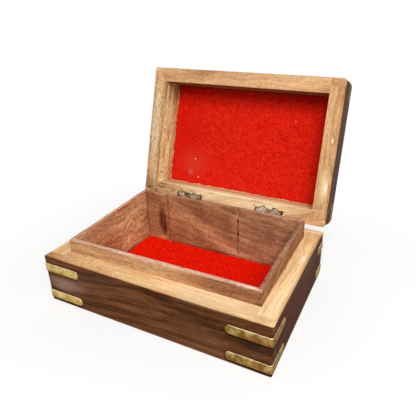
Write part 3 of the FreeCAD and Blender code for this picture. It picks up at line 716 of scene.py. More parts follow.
linerRise = dict(front_left=8.2, front_right=9.8, back_left=11.5, back_right=12.6)  # above the base's rim
linerSize = dict(thick=2.6, height=38.8, edge=0.7, kerfs=(-42.3, 16.8), kerfWidth=0.66, kerfDepth=0.8,
    kerfDrift=((0.16, 4.0), (0.10, 0.8)), kerfWaver=(0.5, 1.1), kerfWall=(0.12, -0.10),
    cornerKerfShade=0.25, dirtShadeTop=(4.0, 9.0), dirtShadeFoot=(33.0, 27.0),  # where a kerf's dirt and painted shade start and end
    panel=1.0, foot=0.15, faceStep=0.7, rough=0.22, knock=1.1, knockWide=2.2, knockDeep=8.0)
linerKnots = ((-19.2, 18.9, 3.4), (-12.6, 29.5, 2.6), (-28.6, 14.7, 3.0))  # left board: along, down, width


def kerfCut(grid, places, half):  # a ragged groove down the inner face at each place
    nA, nB = grid["counts"][:2]
    u, h = grid["u"], grid["h"]
    row = np.arange(len(u))[:, None]
    inner = (row >= nA + nB) & (row < nA + nB + nA)
    for place in places:
        seed = 131 + int(place)
        drift = sum(a * waver(h, seed + k, length) for k, (a, length) in enumerate(linerSize["kerfDrift"]))
        change, length = linerSize["kerfWaver"]
        wide = linerSize["kerfWidth"] * (1 + change * waver(h, seed + 2, length))
        aside = np.abs(u * (half - linerSize["thick"]) / half - place - drift)
        cut = ease(*(wide + wall for wall in linerSize["kerfWall"]), aside)
        grid["v"] = np.where(inner, grid["v"] - linerSize["kerfDepth"] * cut, grid["v"])
        share = 1.0 if abs(place) < 30 else linerSize["cornerKerfShade"]  # the kerf near the corner is darkened less
        # dirt and painted shade down the kerf, which light would otherwise fill
        dirtAndShade = share * cut * ease(*linerSize["dirtShadeTop"], h) * ease(*linerSize["dirtShadeFoot"], h)
        dirtAndShade = dirtAndShade * (0.75 + 0.35 * waver(h, seed + 3, 1.2))
        grid["bed"] = np.maximum(grid.get("bed", 0.0), np.where(inner, dirtAndShade, 0.0))


def curl(u, h):  # small curls all over, and rings of grain closing round each knot
    total = 1.5 * patches(u, h, 271, 5.0) + 0.8 * patches(u, h, 272, 2.1)
    for a, b, wide in linerKnots:
        far = np.hypot((u - a) / wide, (h - b) / (1.5 * wide)) + 0.25 * patches(u, h, 273, 2.4)
        total = total + np.exp(-(far / 1.5) ** 2) * (5.0 * far - (h - b))
    return total


def curlLines(u, h):  # dark lines that follow the curls, fading towards the front
    return 0.30 * ease(0.25, 1.0, np.sin(1.5 * (h + curl(u, h)))) * ease(24, -4, u)


def slant(u, h):  # a broad pale band that crosses the back liner from high left to low right
    along = u + 1.67 * (h - 20.0)
    return np.exp(-((along - 13.0) / 8.5) ** 2) + 0.25 * np.exp(-((along + 30.0) / 8.0) ** 2)


linerSettings = dict(
    front=dict(seed=23, fleck=lambda u, v, h: 0.62 - 0.30 * ease(-30, -58, u),
        # darker towards the right end: painted shade
        tone=lambda u, v, h: np.where(h < 0.7, 0.05, 0.05 * ease(-58, -30, u) + 0.62 * ease(5, 50, u)
        + 0.06 * waver(u, 24, 30))),
    back=dict(seed=25, tilt=0.10, fleck=lambda u, v, h: 0.75,
        tone=lambda u, v, h: np.where(v > 1.9, 0.54 - 0.12 * ease(-8, -26, u) - 0.46 * slant(u, h)
        + 0.18 * patches(u, h, 291, 8.0), 0.5)),
    left=dict(seed=27, swirl=curl, fleck=lambda u, v, h: 0.8,
        tone=lambda u, v, h: np.where(h < 0.7, 0.25, 0.30 * ease(0.15, 0.8, patches(u, h, 281, 11.0))
        + curlLines(u, h))),
    right=dict(seed=29, rough=0.5, tilt=0.35, fleck=lambda u, v, h: 0.75,
        tone=lambda u, v, h: 0.50 + 0.10 * waver(u, 30, 12)
        + 0.22 * ease(0.1, 0.8, patches(u / 5.0, h + 0.35 * u, 301, 1.8))))
linerEnds = dict(front=("front_left", "front_right"), back=("back_right", "back_left"),
    left=("back_left", "front_left"), right=("front_right", "back_right"))
linerMiddle = (boxSize["trayFront"] + boxSize["trayBack"]) / 2
linerOrigin = dict(front=boxSize["trayFront"], back=boxSize["trayBack"],
    left=-boxSize["trayHalf"], right=boxSize["trayHalf"])
for side, look in linerSettings.items():
    longSide = side in longSides
    half = boxSize["trayHalf"] if longSide else (boxSize["trayBack"] - boxSize["trayFront"]) / 2
    flip = -1 if side == "back" else 1
    kerfs = [flip * k for k in linerSize["kerfs"]] if longSide else []
    spread = half / (half - linerSize["thick"])
    dense = join([k * spread + np.arange(-1.6, 1.6, 0.13) for k in kerfs]) if kerfs else []
    stations = shortStations(-half, half, linerSize["thick"], 0.0, -half, half, dense)
    rough = look.get("rough", linerSize["rough"])
    edge = linerSize["edge"] * (1 + rough * waver(stations["u"], look["seed"] + 40, 4.0))
    grid = boardGrid(stations, linerSize["height"], linerSize["panel"], linerSize["foot"], edge,
        edge[::-1] * 0.9, np.linspace(0.08, 0.92, 6), linerSize["faceStep"])
    if kerfs:
        kerfCut(grid, kerfs, half)
    knock = dict(back=-1, right=1).get(side, 0)  # the back right corner is knocked down
    if knock:
        near = ease(linerSize["knockWide"], 0.0, half - knock * grid["u"])
        near = near * ease(linerSize["knockDeep"], 0.0, grid["h"])
        grid["h"] = grid["h"] + linerSize["knock"] * near
    grid["u"] = grid["u"] * (half - grid["v"]) / half  # the mitre
    nA, nB = grid["counts"][:2]
    grid["bare"][:] = 0
    grid["bare"][nA - 5:nA + nB + 5] = 1
    look["shift"] = (0, 0 if longSide else linerMiddle, 0)
    low, high = linerEnds[side]
    level = boxSize["baseTop"] + np.interp(grid["u"], [-half, half], [linerRise[low], linerRise[high]])
    down = -(level - boxSize["bottom"]) / linerSize["height"]
    finishBoard("liner_%s_dressed" % side, grid, side, linerOrigin[side], level, down, "base", linerWood,
        ["liner_" + side], look)
print("liner made")


# Panels: flat boards let into the frames, with a slow swell and eased edges.

panelSize = dict(step=2.0, round=0.30, hair=(0.0, 0.06, 0.16, 0.30),
    sunk=0.02, swell=(0.04, 22.0), bend=(2.0, 40.0),
    bareEnds=(50, 60), bareBack=(30, 36), bareFront=(-38.5, -36))  # pale under the felt's frayed edges


def panelLine(low, high):  # places across a panel, close together at its edges
    hair, step = np.array(panelSize["hair"]), panelSize["step"]
    return join([low + hair, np.arange(low + 2, high - 1.5, step), (high - hair)[::-1]])


def panelPiece(name, node, x, y, outZ, inZ, body, material, seed):  # a slab whose edge is a quarter round
    gx, gy, r = panelLine(*x), panelLine(*y), panelSize["round"]
    gridX, gridY, edge = slabGrid(gx, gy, x, y)
    drop = r - np.sqrt(np.maximum(r ** 2 - (r - np.minimum(edge, r)) ** 2, 0))
    sign = 1 if outZ > inZ else -1
    (rise, wide), (bend, length) = panelSize["swell"], panelSize["bend"]
    outer = outZ - sign * (drop + panelSize["sunk"] + rise * np.abs(patches(gridX, gridY, seed, wide)))
    shut = join([np.stack([gridX, gridY, z], -1).reshape(-1, 3) for z in (outer, inZ + 0 * gridX)])
    across = shut[:, 1] + boardFigure["tilt"] * shut[:, 0] + bend * waver(shut[:, 0], seed + 2, length)
    grain = np.stack([shut[:, 0], across, shut[:, 2]], -1) + boardFigure["apart"] * seed
    flat = np.zeros(len(shut))
    worn = join([ease(0.5, 0.0, edge).ravel(), 0 * edge.ravel()])
    border = np.maximum(ease(*panelSize["bareEnds"], np.abs(gridX)), ease(*panelSize["bareBack"], gridY))
    border = border * ease(*panelSize["bareFront"], gridY)
    inside = join([0 * gridX.ravel(), border.ravel()])
    fields = dict(grain=grain, shut=shut, bare=inside, worn=worn, seam=flat + farOff, tone=0.35 - 0.25 * inside,
        fleck=flat)
    return makePiece(name, shut, slabFaces(len(gx), len(gy)), body, material, [node], fields)


panelSettings = dict(
    lid_top_panel=dict(x=(-70.35, 70.35), y=(-45.35, 45.35), outZ=57.3, inZ=54.3, body="lid", material=lidWood,
        seed=33),
    bottom_panel=dict(x=(-69.95, 69.95), y=(-44.0246, 44.95), outZ=0.0, inZ=4.0, body="base", material=wallWood,
        seed=35))
for node, settings in panelSettings.items():
    panelPiece(node + "_dressed", node, **settings)
print("panels made")


# Felt: a thin mat with a napped face, slack edges and a ragged outline.

feltPlain = dict(nap=((1.2, 1.2, 1.2), 5.0, 0.75), mottle=((0.22, 0.22, 0.22), 3.0, 0.6),
    hairs=((2.6, 1.9, 2.2), 2.0, 0.6, 1.5), napShare=0.88, mottleShare=0.12,
    redRange=(0.37, 0.64), hairRange=(0.63, 0.74), marks=(),
    rough=0.95, gloss=0.015, sheen=0.05, sheenRough=0.5, sheenTint=(1.0, 0.25, 0.15), bump=0.5,
    bumpDepth=0.0003)


def feltMaterial(name, ownLook):  # fine noise through a ramp of reds, with pale hairs over it
    material, tree, shader = newMaterial(name)
    look = {**feltPlain, **ownLook}
    place = field(tree, "shut", "Vector")
    nap, mottle, hairs = (cloud(tree, place, *look[k]) for k in ("nap", "mottle", "hairs"))
    hairs = between(tree, hairs, *look["hairRange"])
    sums = addTimes(tree, nap, look["napShare"], times(tree, mottle, look["mottleShare"]))
    colour = colours(tree, between(tree, sums, *look["redRange"]), look["reds"])
    colour = blendIn(tree, times(tree, hairs, look["hairShare"]), colour, look["hairColour"])
    colour = addMarks(tree, colour, look["marks"])
    setInputs(tree, shader, {"Base Color": colour, "Roughness": look["rough"],
            "Specular IOR Level": look["gloss"],
            "Sheen Weight": look["sheen"], "Sheen Roughness": look["sheenRough"],
            "Sheen Tint": look["sheenTint"],
            "Normal": bumped(tree, sums, look["bump"], look["bumpDepth"])})
    return material


feltSize = dict(step=0.8, thick=0.82, thinEdge=0.28, nap=0.05, slack=4.0, frayReach=2.4, crease=0.16,
    creaseWidth=0.7, sharp=60.0, stray=((0.16, 2.4), (0.10, 1.0)), mean=0.4, nicks=0.4, bites=0.35,
    under=0.01)


def frayCut(along, seed, short, wide):  # depth of the ragged edge: short nicks over slower waves
    nicks = feltSize["nicks"] * waver(along, seed, short)
    bites = feltSize["bites"] * waver(along, seed + 1, wide)
    return feltSize["mean"] + nicks + bites


def slackEdge(gridX, gridY, seed):  # how far a slack edge strays sideways
    return sum(a * patches(gridX, gridY, seed + k, length) for k, (a, length) in enumerate(feltSize["stray"]))


def feltPiece(name, node, x, y, restZ, up, body, material, seed, crease=None, fray=(0.0, 0.0, 0.0)):
    gx, gy = (np.linspace(a, b, len(np.arange(a, b + 0.01, feltSize["step"]))) for a, b in (x, y))
    gridX, gridY, edge = slabGrid(gx, gy, x, y)
    border = ease(feltSize["slack"], 0.0, edge)
    matX = gridX + border * slackEdge(gridX, gridY, seed)
    matY = gridY + border * slackEdge(gridX, gridY, seed + 2)
    thick = feltSize["thick"] + feltSize["nap"] * patches(gridX, gridY, seed + 4, 1.1)
    thick = thick + feltSize["nap"] * patches(gridX, gridY, seed + 5, 3.0)
    thick = thick - feltSize["thinEdge"] * ease(0.9, 0.0, edge)
    left, right, rear = fray  # how deep the cuts go at three edges
    reach = feltSize["frayReach"]
    matX = matX + left * ease(reach, 0.0, gridX - x[0]) * frayCut(gridY, seed + 9, 1.7, 5.3)
    matX = matX - right * ease(reach, 0.0, x[1] - gridX) * frayCut(gridY, seed + 11, 1.9, 5.1)
    matY = matY - rear * ease(reach, 0.0, y[1] - gridY) * frayCut(gridX, seed + 13, 1.8, 6.3)
    if crease:  # a low ridge along a line
        (ax, ay), (bx, by) = crease
        t = ((gridX - ax) * (bx - ax) + (gridY - ay) * (by - ay)) / ((bx - ax) ** 2 + (by - ay) ** 2)
        t = np.clip(t, 0, 1)
        far = np.hypot(gridX - ax - t * (bx - ax), gridY - ay - t * (by - ay))
        thick = thick + feltSize["crease"] * np.exp(-(far / feltSize["creaseWidth"]) ** 2)
    heights = (restZ + up * thick, restZ + 0 * matX + up * feltSize["under"])
    shut = join([np.stack([matX, matY, z], -1).reshape(-1, 3) for z in heights])
    piece = makePiece(name, shut, slabFaces(len(gx), len(gy)), body, material, [node], dict(shut=shut),
        feltSize["sharp"])
    return piece


floorFelt = feltMaterial("floorFelt", dict(
        reds=((0.0, (0.58, 0.0015, 0.0003)), (0.5, (0.82, 0.0028, 0.0004)), (1.0, (0.98, 0.020, 0.002))),
        hairShare=0.85, hairColour=(1.0, 0.36, 0.07), sheen=0.0))
lidFelt = feltMaterial("lidFelt", dict(
        reds=((0.0, (0.42, 0.0030, 0.0012)), (0.5, (0.66, 0.0065, 0.0025)), (1.0, (0.85, 0.048, 0.018))),
        hairShare=0.34, hairColour=(0.84, 0.17, 0.08), nap=((1.65, 1.65, 1.65), 5.0, 0.75),
        marks=(
        (-58, 0, 53.4, 34, 60, 9, 0.1, 0.45, (0.52, 0.004, 0.0015)),
        (-44, 22, 53.4, 20, 17, 9, 0, 0.2, (0.62, 0.12, 0.07)),
        (-45.6, 30.6, 53.4, 3.4, 4.2, 9, 0, 0.35, (0.66, 0.2, 0.13)),
        (-42.4, 19, 53.4, 0.65, 0.65, 3, 0.5, 1, (0.8, 0.66, 0.56)),
        (-37.9, 33.9, 53.4, 0.6, 0.6, 3, 0.5, 1, (0.8, 0.6, 0.48)),
        (39.4, -20.2, 53.4, 0.55, 0.55, 3, 0.5, 1, (0.74, 0.38, 0.26)))))
feltSettings = dict(
    floor_felt=dict(x=(-62.0, 62.0), y=(-36.0746, 37.0), restZ=4.0, up=1, body="base", material=floorFelt,
        seed=51, crease=((26.3, 31.5), (35.1, 14.5))),
    lid_felt=dict(x=(-65.0, 65.0), y=(-40.0, 40.0), restZ=54.3, up=-1, body="lid", material=lidFelt,
        seed=61, fray=(0.8, 0.9, 0.9)))
for node, settings in feltSettings.items():
    feltPiece(node + "_mat", node, **settings)
print("felt made")


# Brass: soft clouds through a ramp of golds, with tarnish spots; straps also darken at their edges, and carry
# painted shade low on each strap and on the dimly lit ones, and a painted highlight along their top edge.

# the sizes of its three noises are in waves per metre
brassPlain = dict(soft=((170, 170, 170), 4.0, 0.6, 0.4), spots=((420, 420, 420), 4.0, 0.65, 0.6),
    lines=((260, 260, 5200), 3.0, 0.6), spotRange=(0.56, 0.70), goldRange=(0.34, 0.68),
    edgeFade=(0.9, 0.0, 0.0, 0.55), edgeRange=(0.40, 0.60), lowerShadeFade=(0.75, -0.75, 0.0, 0.75),
    lowerShadeRagged=0.8, paintedShadeFade=(0.35, 0.62, 1.0, 0.45), highlightFade=(0.96, 1.10, 0.0, 0.60),
    highlightRagged=0.3, spotRough=0.12, softRough=0.30, lineDepth=0.5,
    metal=1.0, grazing=(1.0, 0.9, 0.7), edged=False, bump=0.18, bumpDepth=0.0002)


def brassMaterial(name, ownLook):
    material, tree, shader = newMaterial(name)
    look = {**brassPlain, **ownLook}
    place = addNode(tree, "ShaderNodeTexCoord").outputs["Object"]
    soft, spots, lines = (cloud(tree, place, *look[k]) for k in ("soft", "spots", "lines"))
    spots = between(tree, spots, *look["spotRange"])
    colour = colours(tree, between(tree, soft, *look["goldRange"]), look["golds"])
    colour = blendIn(tree, times(tree, spots, look["tarnish"]), colour, look["tarnishColour"])
    if look["edged"]:
        near = between(tree, field(tree, "inward"), *look["edgeFade"])
        dull = times(tree, near, between(tree, soft, *look["edgeRange"]))
        colour = blendIn(tree, dull, colour, look["tarnishColour"])
        lean, paintedShadeLevel = field(tree, "lean"), field(tree, "paintedShadeLevel")
        # painted shade: the lower half of each strap darker
        low = between(tree, addTimes(tree, soft, look["lowerShadeRagged"], lean), *look["lowerShadeFade"])
        colour = blendIn(tree, low, colour, look["lowerShadeColour"])
        # painted shade: straps on the dim side darker, most on their side legs
        shadedShare = calc(tree, "MINIMUM", paintedShadeLevel, between(tree, soft, *look["paintedShadeFade"]))
        colour = blendIn(tree, shadedShare, colour, look["paintedShadeColour"])
        # painted highlight along each strap's top edge
        highlightShare = between(tree, addTimes(tree, soft, look["highlightRagged"], lean), *look["highlightFade"])
        colour = blendIn(tree, highlightShare, colour, look["highlightColour"])
        # painted shade: the darkest straps go near black
        colour = blendIn(tree, between(tree, paintedShadeLevel, 1.0, 2.0), colour, look["grimeShadeColour"])
    rough = addTimes(tree, soft, look["softRough"], look["rough"])
    rough = addTimes(tree, spots, look["spotRough"], rough)
    height = addTimes(tree, lines, look["lineDepth"], soft)
    setInputs(tree, shader, {"Base Color": colour, "Metallic": look["metal"], "Roughness": rough,
            "Specular Tint": look["grazing"],
            "Normal": bumped(tree, height, look["bump"], look["bumpDepth"])})
    return material


strapBrass = brassMaterial("strapBrass", dict(
        golds=((0.0, (0.50, 0.325, 0.095)), (0.5, (0.67, 0.460, 0.148)), (1.0, (0.83, 0.625, 0.250))),
        tarnish=0.30, tarnishColour=(0.17, 0.105, 0.030), lowerShadeColour=(0.27, 0.165, 0.040),
        paintedShadeColour=(0.190, 0.080, 0.016), highlightColour=(0.96, 0.82, 0.52), grimeShadeColour=(0.055, 0.042, 0.024),
        edged=True, rough=0.20, grazing=(0.66, 0.57, 0.40)))
hingeBrass = brassMaterial("hingeBrass", dict(
        golds=((0.0, (0.24, 0.185, 0.085)), (0.45, (0.56, 0.48, 0.28)), (1.0, (0.95, 0.92, 0.80))),
        tarnish=0.62, tarnishColour=(0.10, 0.075, 0.03), rough=0.16, metal=0.72))
pinBrass = brassMaterial("pinBrass", dict(
        golds=((0.0, (0.20, 0.145, 0.050)), (0.5, (0.31, 0.235, 0.085)), (1.0, (0.46, 0.37, 0.15))),
        tarnish=0.60, tarnishColour=(0.07, 0.05, 0.022), rough=0.26))


# Straps: a round-ended bar with pillowed edges, carried along a face, round the corner and along the next face.
# Its height over the wood is a quarter circle of the distance in from its outline, with a slow crown.

def strapPath(s, corner, first, quarter, turn):  # plan position and outward direction, s mm along the strap
    sx, sy = corner
    a = np.clip((s - first) / turn, 0, math.pi / 2)
    before, after = np.minimum(s - first, 0), np.maximum(s - first - quarter, 0)
    x = sx * (halfLong - turn + before + turn * np.sin(a))
    y = sy * (halfDeep - turn + turn * np.cos(a) - after)
    return x, y, sx * np.sin(a), sy * np.cos(a)


def strapPiece(name, node, corner, sideLeg, turn, level, body, seed, paintedShadeLevel):
    first, quarter = strapSize["longLeg"] - turn, turn * math.pi / 2
    total = first + quarter + sideLeg - turn
    r, half = strapSize["endRound"], strapSize["half"]
    step, count = strapSize["step"], strapSize["bendRows"]
    tip = r * (1 - np.cos(np.radians(np.linspace(0, 90, count))))
    middle = join([np.arange(r + 0.5, first - 0.2, step), first + np.linspace(0, quarter, count),
            np.arange(first + quarter + 0.4, total - r - 0.3, step)])
    s = join([tip, middle, (total - tip)[::-1]])
    share = np.sin(np.radians(np.linspace(-90, 90, strapSize["rows"])))[:, None]
    reach = np.minimum(np.minimum(s, total - s), r)
    (edgeWaver, edgeLength), (dents, dentLength) = strapSize["edgeWaver"], strapSize["dents"]
    wide = half - r + np.sqrt(np.maximum(r * r - (r - reach) ** 2, 0))
    wide = wide * (1 + edgeWaver * waver(s, seed, edgeLength))
    t = share * wide
    qx, qy = np.abs(s - total / 2) - (total / 2 - r), np.abs(t) - (half - r)
    inward = r - np.hypot(np.maximum(qx, 0), np.maximum(qy, 0)) - np.minimum(np.maximum(qx, qy), 0)
    pillow = 1 - np.clip(inward / strapSize["pillow"], 0, 1)
    crown = strapSize["crown"]
    rise = np.sqrt(np.maximum(1 - pillow ** 2, 0)) * (1 - crown + crown * (1 - (t / half) ** 2))
    uneven = 1 + dents * patches(s + 0 * t, t, seed + 1, dentLength)
    top = strapSize["proud"] * rise * uneven - strapSize["sunk"]
    under = np.array(strapSize["backRows"])[:, None] * wide  # the back of the bar, let into the wood
    band = join([t, under])
    height = join([top, 0 * under - strapSize["seat"]])
    x, y, nx, ny = strapPath(s, corner, first, quarter, turn)
    drift, length = strapSize["drift"]
    z = level + band + drift * waver(s, seed + 2, length)
    shut = np.stack([x + nx * height, y + ny * height, z], -1)
    shadeLevelAlong = paintedShadeLevel[0] + (paintedShadeLevel[1] - paintedShadeLevel[0]) * ease(first - 2, first + quarter + 2, s)
    fields = dict(inward=join([np.maximum(inward, 0), 0 * under]).ravel(), lean=(band / half).ravel(),
        paintedShadeLevel=(shadeLevelAlong + 0 * band).ravel())
    rows, stations = band.shape
    faces = gridQuads(rows, stations, closeRows=True).tolist()
    faces += [(np.arange(rows) * stations + e).tolist() for e in (0, stations - 1)]
    return makePiece(name, shut.reshape(-1, 3), faces, body, strapBrass, [node], fields,
        strapSize["sharp"])


# painted shade levels for the dimly lit right-hand straps, on the long leg and on the side leg; other straps
# take (0.0, 0.3)
strapShadeLevels = dict(base_front_right=(0.95, 1.35), base_back_right=(0.5, 0.7),  # on the long leg, on the side leg
    lid_front_right=(0.5, 1.55), lid_back_right=(0.5, 1.45))
corners = dict(front_left=(-1, -1), front_right=(1, -1), back_left=(-1, 1), back_right=(1, 1))
pinSpots = dict(base=[], lid=[])  # each pin's point on the wood and its outward direction
for count, (corner, (sx, sy)) in enumerate(corners.items()):
    baseLeg, lidLeg = strapSize["sideLegs"][corner.split("_")[0]], strapSize["sideLegs"]["lid"]
    rows = [("base_strap_%s_upper" % corner, baseLeg, strapSize["upper"] + strapSize["slip"][corner], "base"),
        ("base_strap_%s_lower" % corner, baseLeg, strapSize["lower"], "base"),
        ("lid_strap_" + corner, lidLeg, strapSize["lid"], "lid")]
    for rowCount, (node, leg, level, body) in enumerate(rows):
        turn = (baseRound if body == "base" else lidRound)[corner]
        strapPiece(node + "_dressed", node, (sx, sy), leg, turn, level, body, 100 + 10 * count + rowCount,
            strapShadeLevels.get(body + "_" + corner, (0.0, 0.3)))
        longPin = halfLong - strapSize["longLeg"] + strapSize["pinIn"]
        sidePin = halfDeep - leg + strapSize["pinIn"]
        pinSpots[body] += [((sx * longPin, sy * halfDeep, level), (0, sy, 0)),
            ((sx * halfLong, sy * sidePin, level), (sx, 0, 0))]
print("straps made")


# Strap pins: a low dome over a straight shank, one shape turned to every place at once.

pinSize = dict(radius=0.9, proud=0.46, dome=0.07, length=7.0, sides=28)


def pinGroup(name, node, spots, body):
    r, length, sides = pinSize["radius"], pinSize["length"], pinSize["sides"]
    radii = np.array([0.0001, 0.35, 0.62, 0.80, 0.87, 0.90, 0.90, 0.0001]) / 0.9 * r
    depth = np.array([pinSize["dome"], 0.062, 0.045, 0.025, 0.005, -0.04, -length, -length]) + pinSize["proud"]
    a = np.linspace(0, 2 * math.pi, sides, endpoint=False)[None, :, None]
    at, out = (np.array([s[k] for s in spots], float) for k in (0, 1))
    up = np.array([0.0, 0.0, 1.0])
    across = np.cross(up, out)
    ring = radii[:, None, None] * (np.cos(a) * across[:, None, None, :] + np.sin(a) * up)
    shut = at[:, None, None, :] + ring + depth[:, None, None] * out[:, None, None, :]
    rows = len(radii)
    ends = np.stack([np.arange(sides), (rows - 1) * sides + np.arange(sides)])
    jump = (np.arange(len(spots)) * rows * sides)[:, None, None]
    quads = gridQuads(rows, sides, closeCols=True) + jump
    faces = quads.reshape(-1, 4).tolist() + (ends + jump).reshape(-1, sides).tolist()
    return makePiece(name, shut.reshape(-1, 3), faces, body, pinBrass, [node])


pinGroup("base_strap_pins_dressed", "base_strap_pins", pinSpots["base"], "base")
pinGroup("lid_strap_pins_dressed", "lid_strap_pins", pinSpots["lid"], "lid")


# Hinge screws: rows across a round head drop into a slot, and rings carry the outline down to the point.

screwSize = dict(head=1.66, shank=0.85, headDepth=0.8, length=7.5, point=1.6, tip=0.2, slot=0.24,
    slotDepth=0.36, crown=0.05, sunk=0.02, rimShare=0.985, sideRows=7, slotRows=3, columns=11,
    turns=(62.0, 20.0), apart=4.75, y=47.1)


def screwGroup(name, node, surface, up, body):
    r, w, length = screwSize["head"], screwSize["slot"], screwSize["length"]
    rim, wide, narrow = screwSize["rimShare"] * r, screwSize["sideRows"], screwSize["slotRows"]
    rows = join([-np.linspace(rim, w, wide), np.linspace(-w, w, narrow), np.linspace(w, rim, wide)])
    low = join([np.zeros(wide), np.ones(narrow), np.zeros(wide)])
    cols = np.linspace(-1, 1, screwSize["columns"])
    gx, gy = np.sqrt(r * r - rows ** 2)[:, None] * cols, rows[:, None] + 0 * cols
    gz = -screwSize["slotDepth"] * low[:, None] - screwSize["crown"] * (gx ** 2 + gy ** 2) / r ** 2
    head = np.stack([gx, gy, gz], -1).reshape(-1, 3)
    n, m = len(rows), len(cols)
    ring = join([np.arange(m), np.arange(1, n) * m + m - 1, (n - 1) * m + np.arange(m - 1)[::-1],
            np.arange(1, n - 1)[::-1] * m])
    angle = np.arctan2(head[ring, 1], head[ring, 0])
    steps = [(screwSize["shank"], -screwSize["headDepth"]), (screwSize["shank"], -length + screwSize["point"]),
        (screwSize["tip"], -length)]
    more = [np.stack([rad * np.cos(angle), rad * np.sin(angle), z + 0 * angle], -1) for rad, z in steps]
    points = join([head] + more)
    loops = [ring] + [len(head) + k * len(ring) + np.arange(len(ring)) for k in range(len(steps))]
    sides = [np.stack([a, np.roll(a, -1), np.roll(b, -1), b], -1) for a, b in zip(loops, loops[1:])]
    quads = join([gridQuads(n, m)] + sides)
    shut, faces = [], []
    for place in (-hingeAt, hingeAt):
        for k, turn in zip((-1, 1), screwSize["turns"]):
            c, s = math.cos(math.radians(turn)), math.sin(math.radians(turn))
            faces += (quads + len(shut) * len(points)).tolist()
            faces.append((loops[-1] + len(shut) * len(points)).tolist())
            shut.append(np.stack([points[:, 0] * c - points[:, 1] * s + place + k * screwSize["apart"],
                    points[:, 0] * s + points[:, 1] * c + screwSize["y"],
                    surface + up * (points[:, 2] - screwSize["sunk"])], -1))
    return makePiece(name, join(shut), faces, body, hingeBrass, [node])


screwGroup("hinge_base_screws_dressed", "hinge_base_screws", boxSize["baseTop"], 1, "base")
screwGroup("hinge_lid_screws_dressed", "hinge_lid_screws", boxSize["lidRim"], -1, "lid")

# Hinge leaves and pins keep their CAD shape, welded and with a fine bevel.
leafFinish = dict(weld=0.000002, bevel=0.00012, angle=35.0)
for node in ("left_hinge_base_leaf", "right_hinge_base_leaf", "left_hinge_lid_leaf", "right_hinge_lid_leaf",
        "left_hinge_pin", "right_hinge_pin"):
    leaf = frame["nodes"][node]
    leaf.data.materials.clear()
    leaf.data.materials.append(hingeBrass)
    leaf.modifiers.new("weld", "WELD").merge_threshold = leafFinish["weld"]
    bevel = leaf.modifiers.new("bevel", "BEVEL")
    bevel.width, bevel.segments = leafFinish["bevel"], 2
    bevel.limit_method, bevel.angle_limit = "ANGLE", math.radians(leafFinish["angle"])
print("brass made")


# Camera, floor and light

cameraFit = dict(focal=401.97, place=(122.303, -195.103, 171.347), yaw=24.696, pitch=23.247, roll=-0.112,
    centre=(235.70, 187.03), frame=416, sensor=36.0)  # places in mm, the picture in pixels
yaw, pitch, roll = (math.radians(cameraFit[k]) for k in ("yaw", "pitch", "roll"))
ahead = Vector((-math.sin(yaw) * math.cos(pitch), math.cos(yaw) * math.cos(pitch), -math.sin(pitch)))
level = Vector((math.cos(yaw), math.sin(yaw), 0.0))
upward = level.cross(ahead)
right = level * math.cos(roll) + upward * math.sin(roll)
upward = upward * math.cos(roll) - level * math.sin(roll)
camera = bpy.data.objects.new("camera", bpy.data.cameras.new("camera"))
bpy.context.scene.collection.objects.link(camera)
cameraRows = [(right[k], upward[k], -ahead[k], cameraFit["place"][k] * mm) for k in range(3)]
camera.matrix_world = Matrix(cameraRows + [(0, 0, 0, 1)])
camera.data.sensor_width = cameraFit["sensor"]
camera.data.lens = cameraFit["sensor"] * cameraFit["focal"] / cameraFit["frame"]
camera.data.shift_x = (cameraFit["frame"] / 2 - cameraFit["centre"][0]) / cameraFit["frame"]
camera.data.shift_y = (cameraFit["centre"][1] - cameraFit["frame"] / 2) / cameraFit["frame"]
camera.data.clip_start = 0.01
bpy.context.scene.camera = camera


def directRays(tree):  # 1 for rays that see the backdrop themselves, in a mirror or through glass
    rays = addNode(tree, "ShaderNodeLightPath")
    most = calc(tree, "MAXIMUM", rays.outputs["Is Camera Ray"], rays.outputs["Is Glossy Ray"])
    return calc(tree, "MAXIMUM", most, rays.outputs["Is Transmission Ray"])


floorLook = dict(half=6.0, level=-0.0001, colour=(0.92, 0.92, 0.92), bounce=(0.42, 0.41, 0.40),
    footprint=(0.076, 0.060, 9.0), nearShare=0.62, near=0.010, far=0.120)  # metres
floorMesh = bpy.data.meshes.new("floor")
floorCorners = [(sx * floorLook["half"], sy * floorLook["half"], floorLook["level"])
    for sx, sy in ((-1, -1), (1, -1), (1, 1), (-1, 1))]
floorMesh.from_pydata(floorCorners, [], [(0, 1, 2, 3)])
floor = bpy.data.objects.new("floor", floorMesh)
bpy.context.scene.collection.objects.link(floor)
floorMaterial, floorTree, floorShader = newMaterial("paleFloor")
setInputs(floorTree, floorShader, {"Base Color": floorLook["colour"], "Roughness": 0.9,
        "Specular IOR Level": 0.1})
floorMesh.materials.append(floorMaterial)
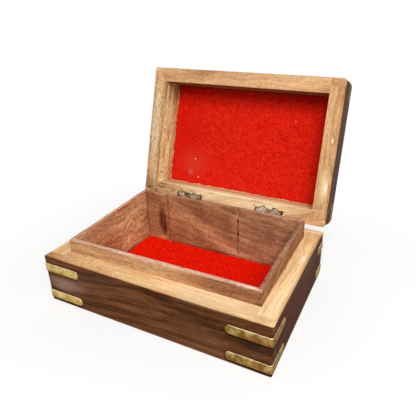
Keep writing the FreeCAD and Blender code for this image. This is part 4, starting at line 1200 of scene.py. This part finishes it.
# white by its distance from the box's footprint, so that only the shadow at the box's foot is left
past = vectors(floorTree, "ABSOLUTE", addNode(floorTree, "ShaderNodeTexCoord").outputs["Object"])
past = vectors(floorTree, "MAXIMUM", vectors(floorTree, "SUBTRACT", past, floorLook["footprint"]))
past = vectors(floorTree, "LENGTH", past, output="Value")
whiteShare = between(floorTree, past, floorLook["near"], floorLook["far"], floorLook["nearShare"], 1.0)
glow = addNode(floorTree, "ShaderNodeEmission", {"Color": (1.0, 1.0, 1.0), "Strength": 1.0})
seenFloor = addNode(floorTree, "ShaderNodeMixShader",
    {0: whiteShare, 1: floorShader.outputs[0], 2: glow.outputs[0]})
bounceFloor = addNode(floorTree, "ShaderNodeBsdfDiffuse", {"Color": floorLook["bounce"]})
bothFloors = addNode(floorTree, "ShaderNodeMixShader",
    {0: directRays(floorTree), 1: bounceFloor.outputs[0], 2: seenFloor.outputs[0]})
floorTree.links.new(bothFloors.outputs[0], floorTree.nodes["Material Output"].inputs["Surface"])

lights = dict(
    key=dict(place=(0.36, -0.60, 0.80), size=0.60, power=10.0, colour=(1.0, 0.97, 0.93)),
    fill=dict(place=(0.82, -0.35, 0.46), size=0.80, power=2.2, colour=(0.96, 0.98, 1.0)),
    back=dict(place=(-0.35, 0.90, 0.75), size=0.60, power=1.6, colour=(0.97, 0.98, 1.0)))
lightAim = Vector((0, 0, 0.04))
for name, look in lights.items():
    lamp = bpy.data.lights.new(name, "AREA")
    lamp.shape, lamp.size, lamp.energy, lamp.color = "DISK", look["size"], look["power"], look["colour"]
    lampObject = bpy.data.objects.new(name, lamp)
    bpy.context.scene.collection.objects.link(lampObject)
    lampObject.location = look["place"]
    lampObject.rotation_euler = (lightAim - Vector(look["place"])).to_track_quat("-Z", "Y").to_euler()

world = bpy.data.worlds.new("studio")
bpy.context.scene.world = world
world.use_nodes = True
worldTree = world.node_tree
seen = worldTree.nodes["Background"]
setInputs(worldTree, seen, {"Color": (1.0, 1.0, 1.0), "Strength": 1.0})
soft = addNode(worldTree, "ShaderNodeBackground", {"Color": (0.96, 0.98, 1.0), "Strength": 0.30})
mixed = addNode(worldTree, "ShaderNodeMixShader",
    {0: directRays(worldTree), 1: soft.outputs[0], 2: seen.outputs[0]})
worldTree.links.new(mixed.outputs[0], worldTree.nodes["World Output"].inputs["Surface"])
print("camera, floor and light set")
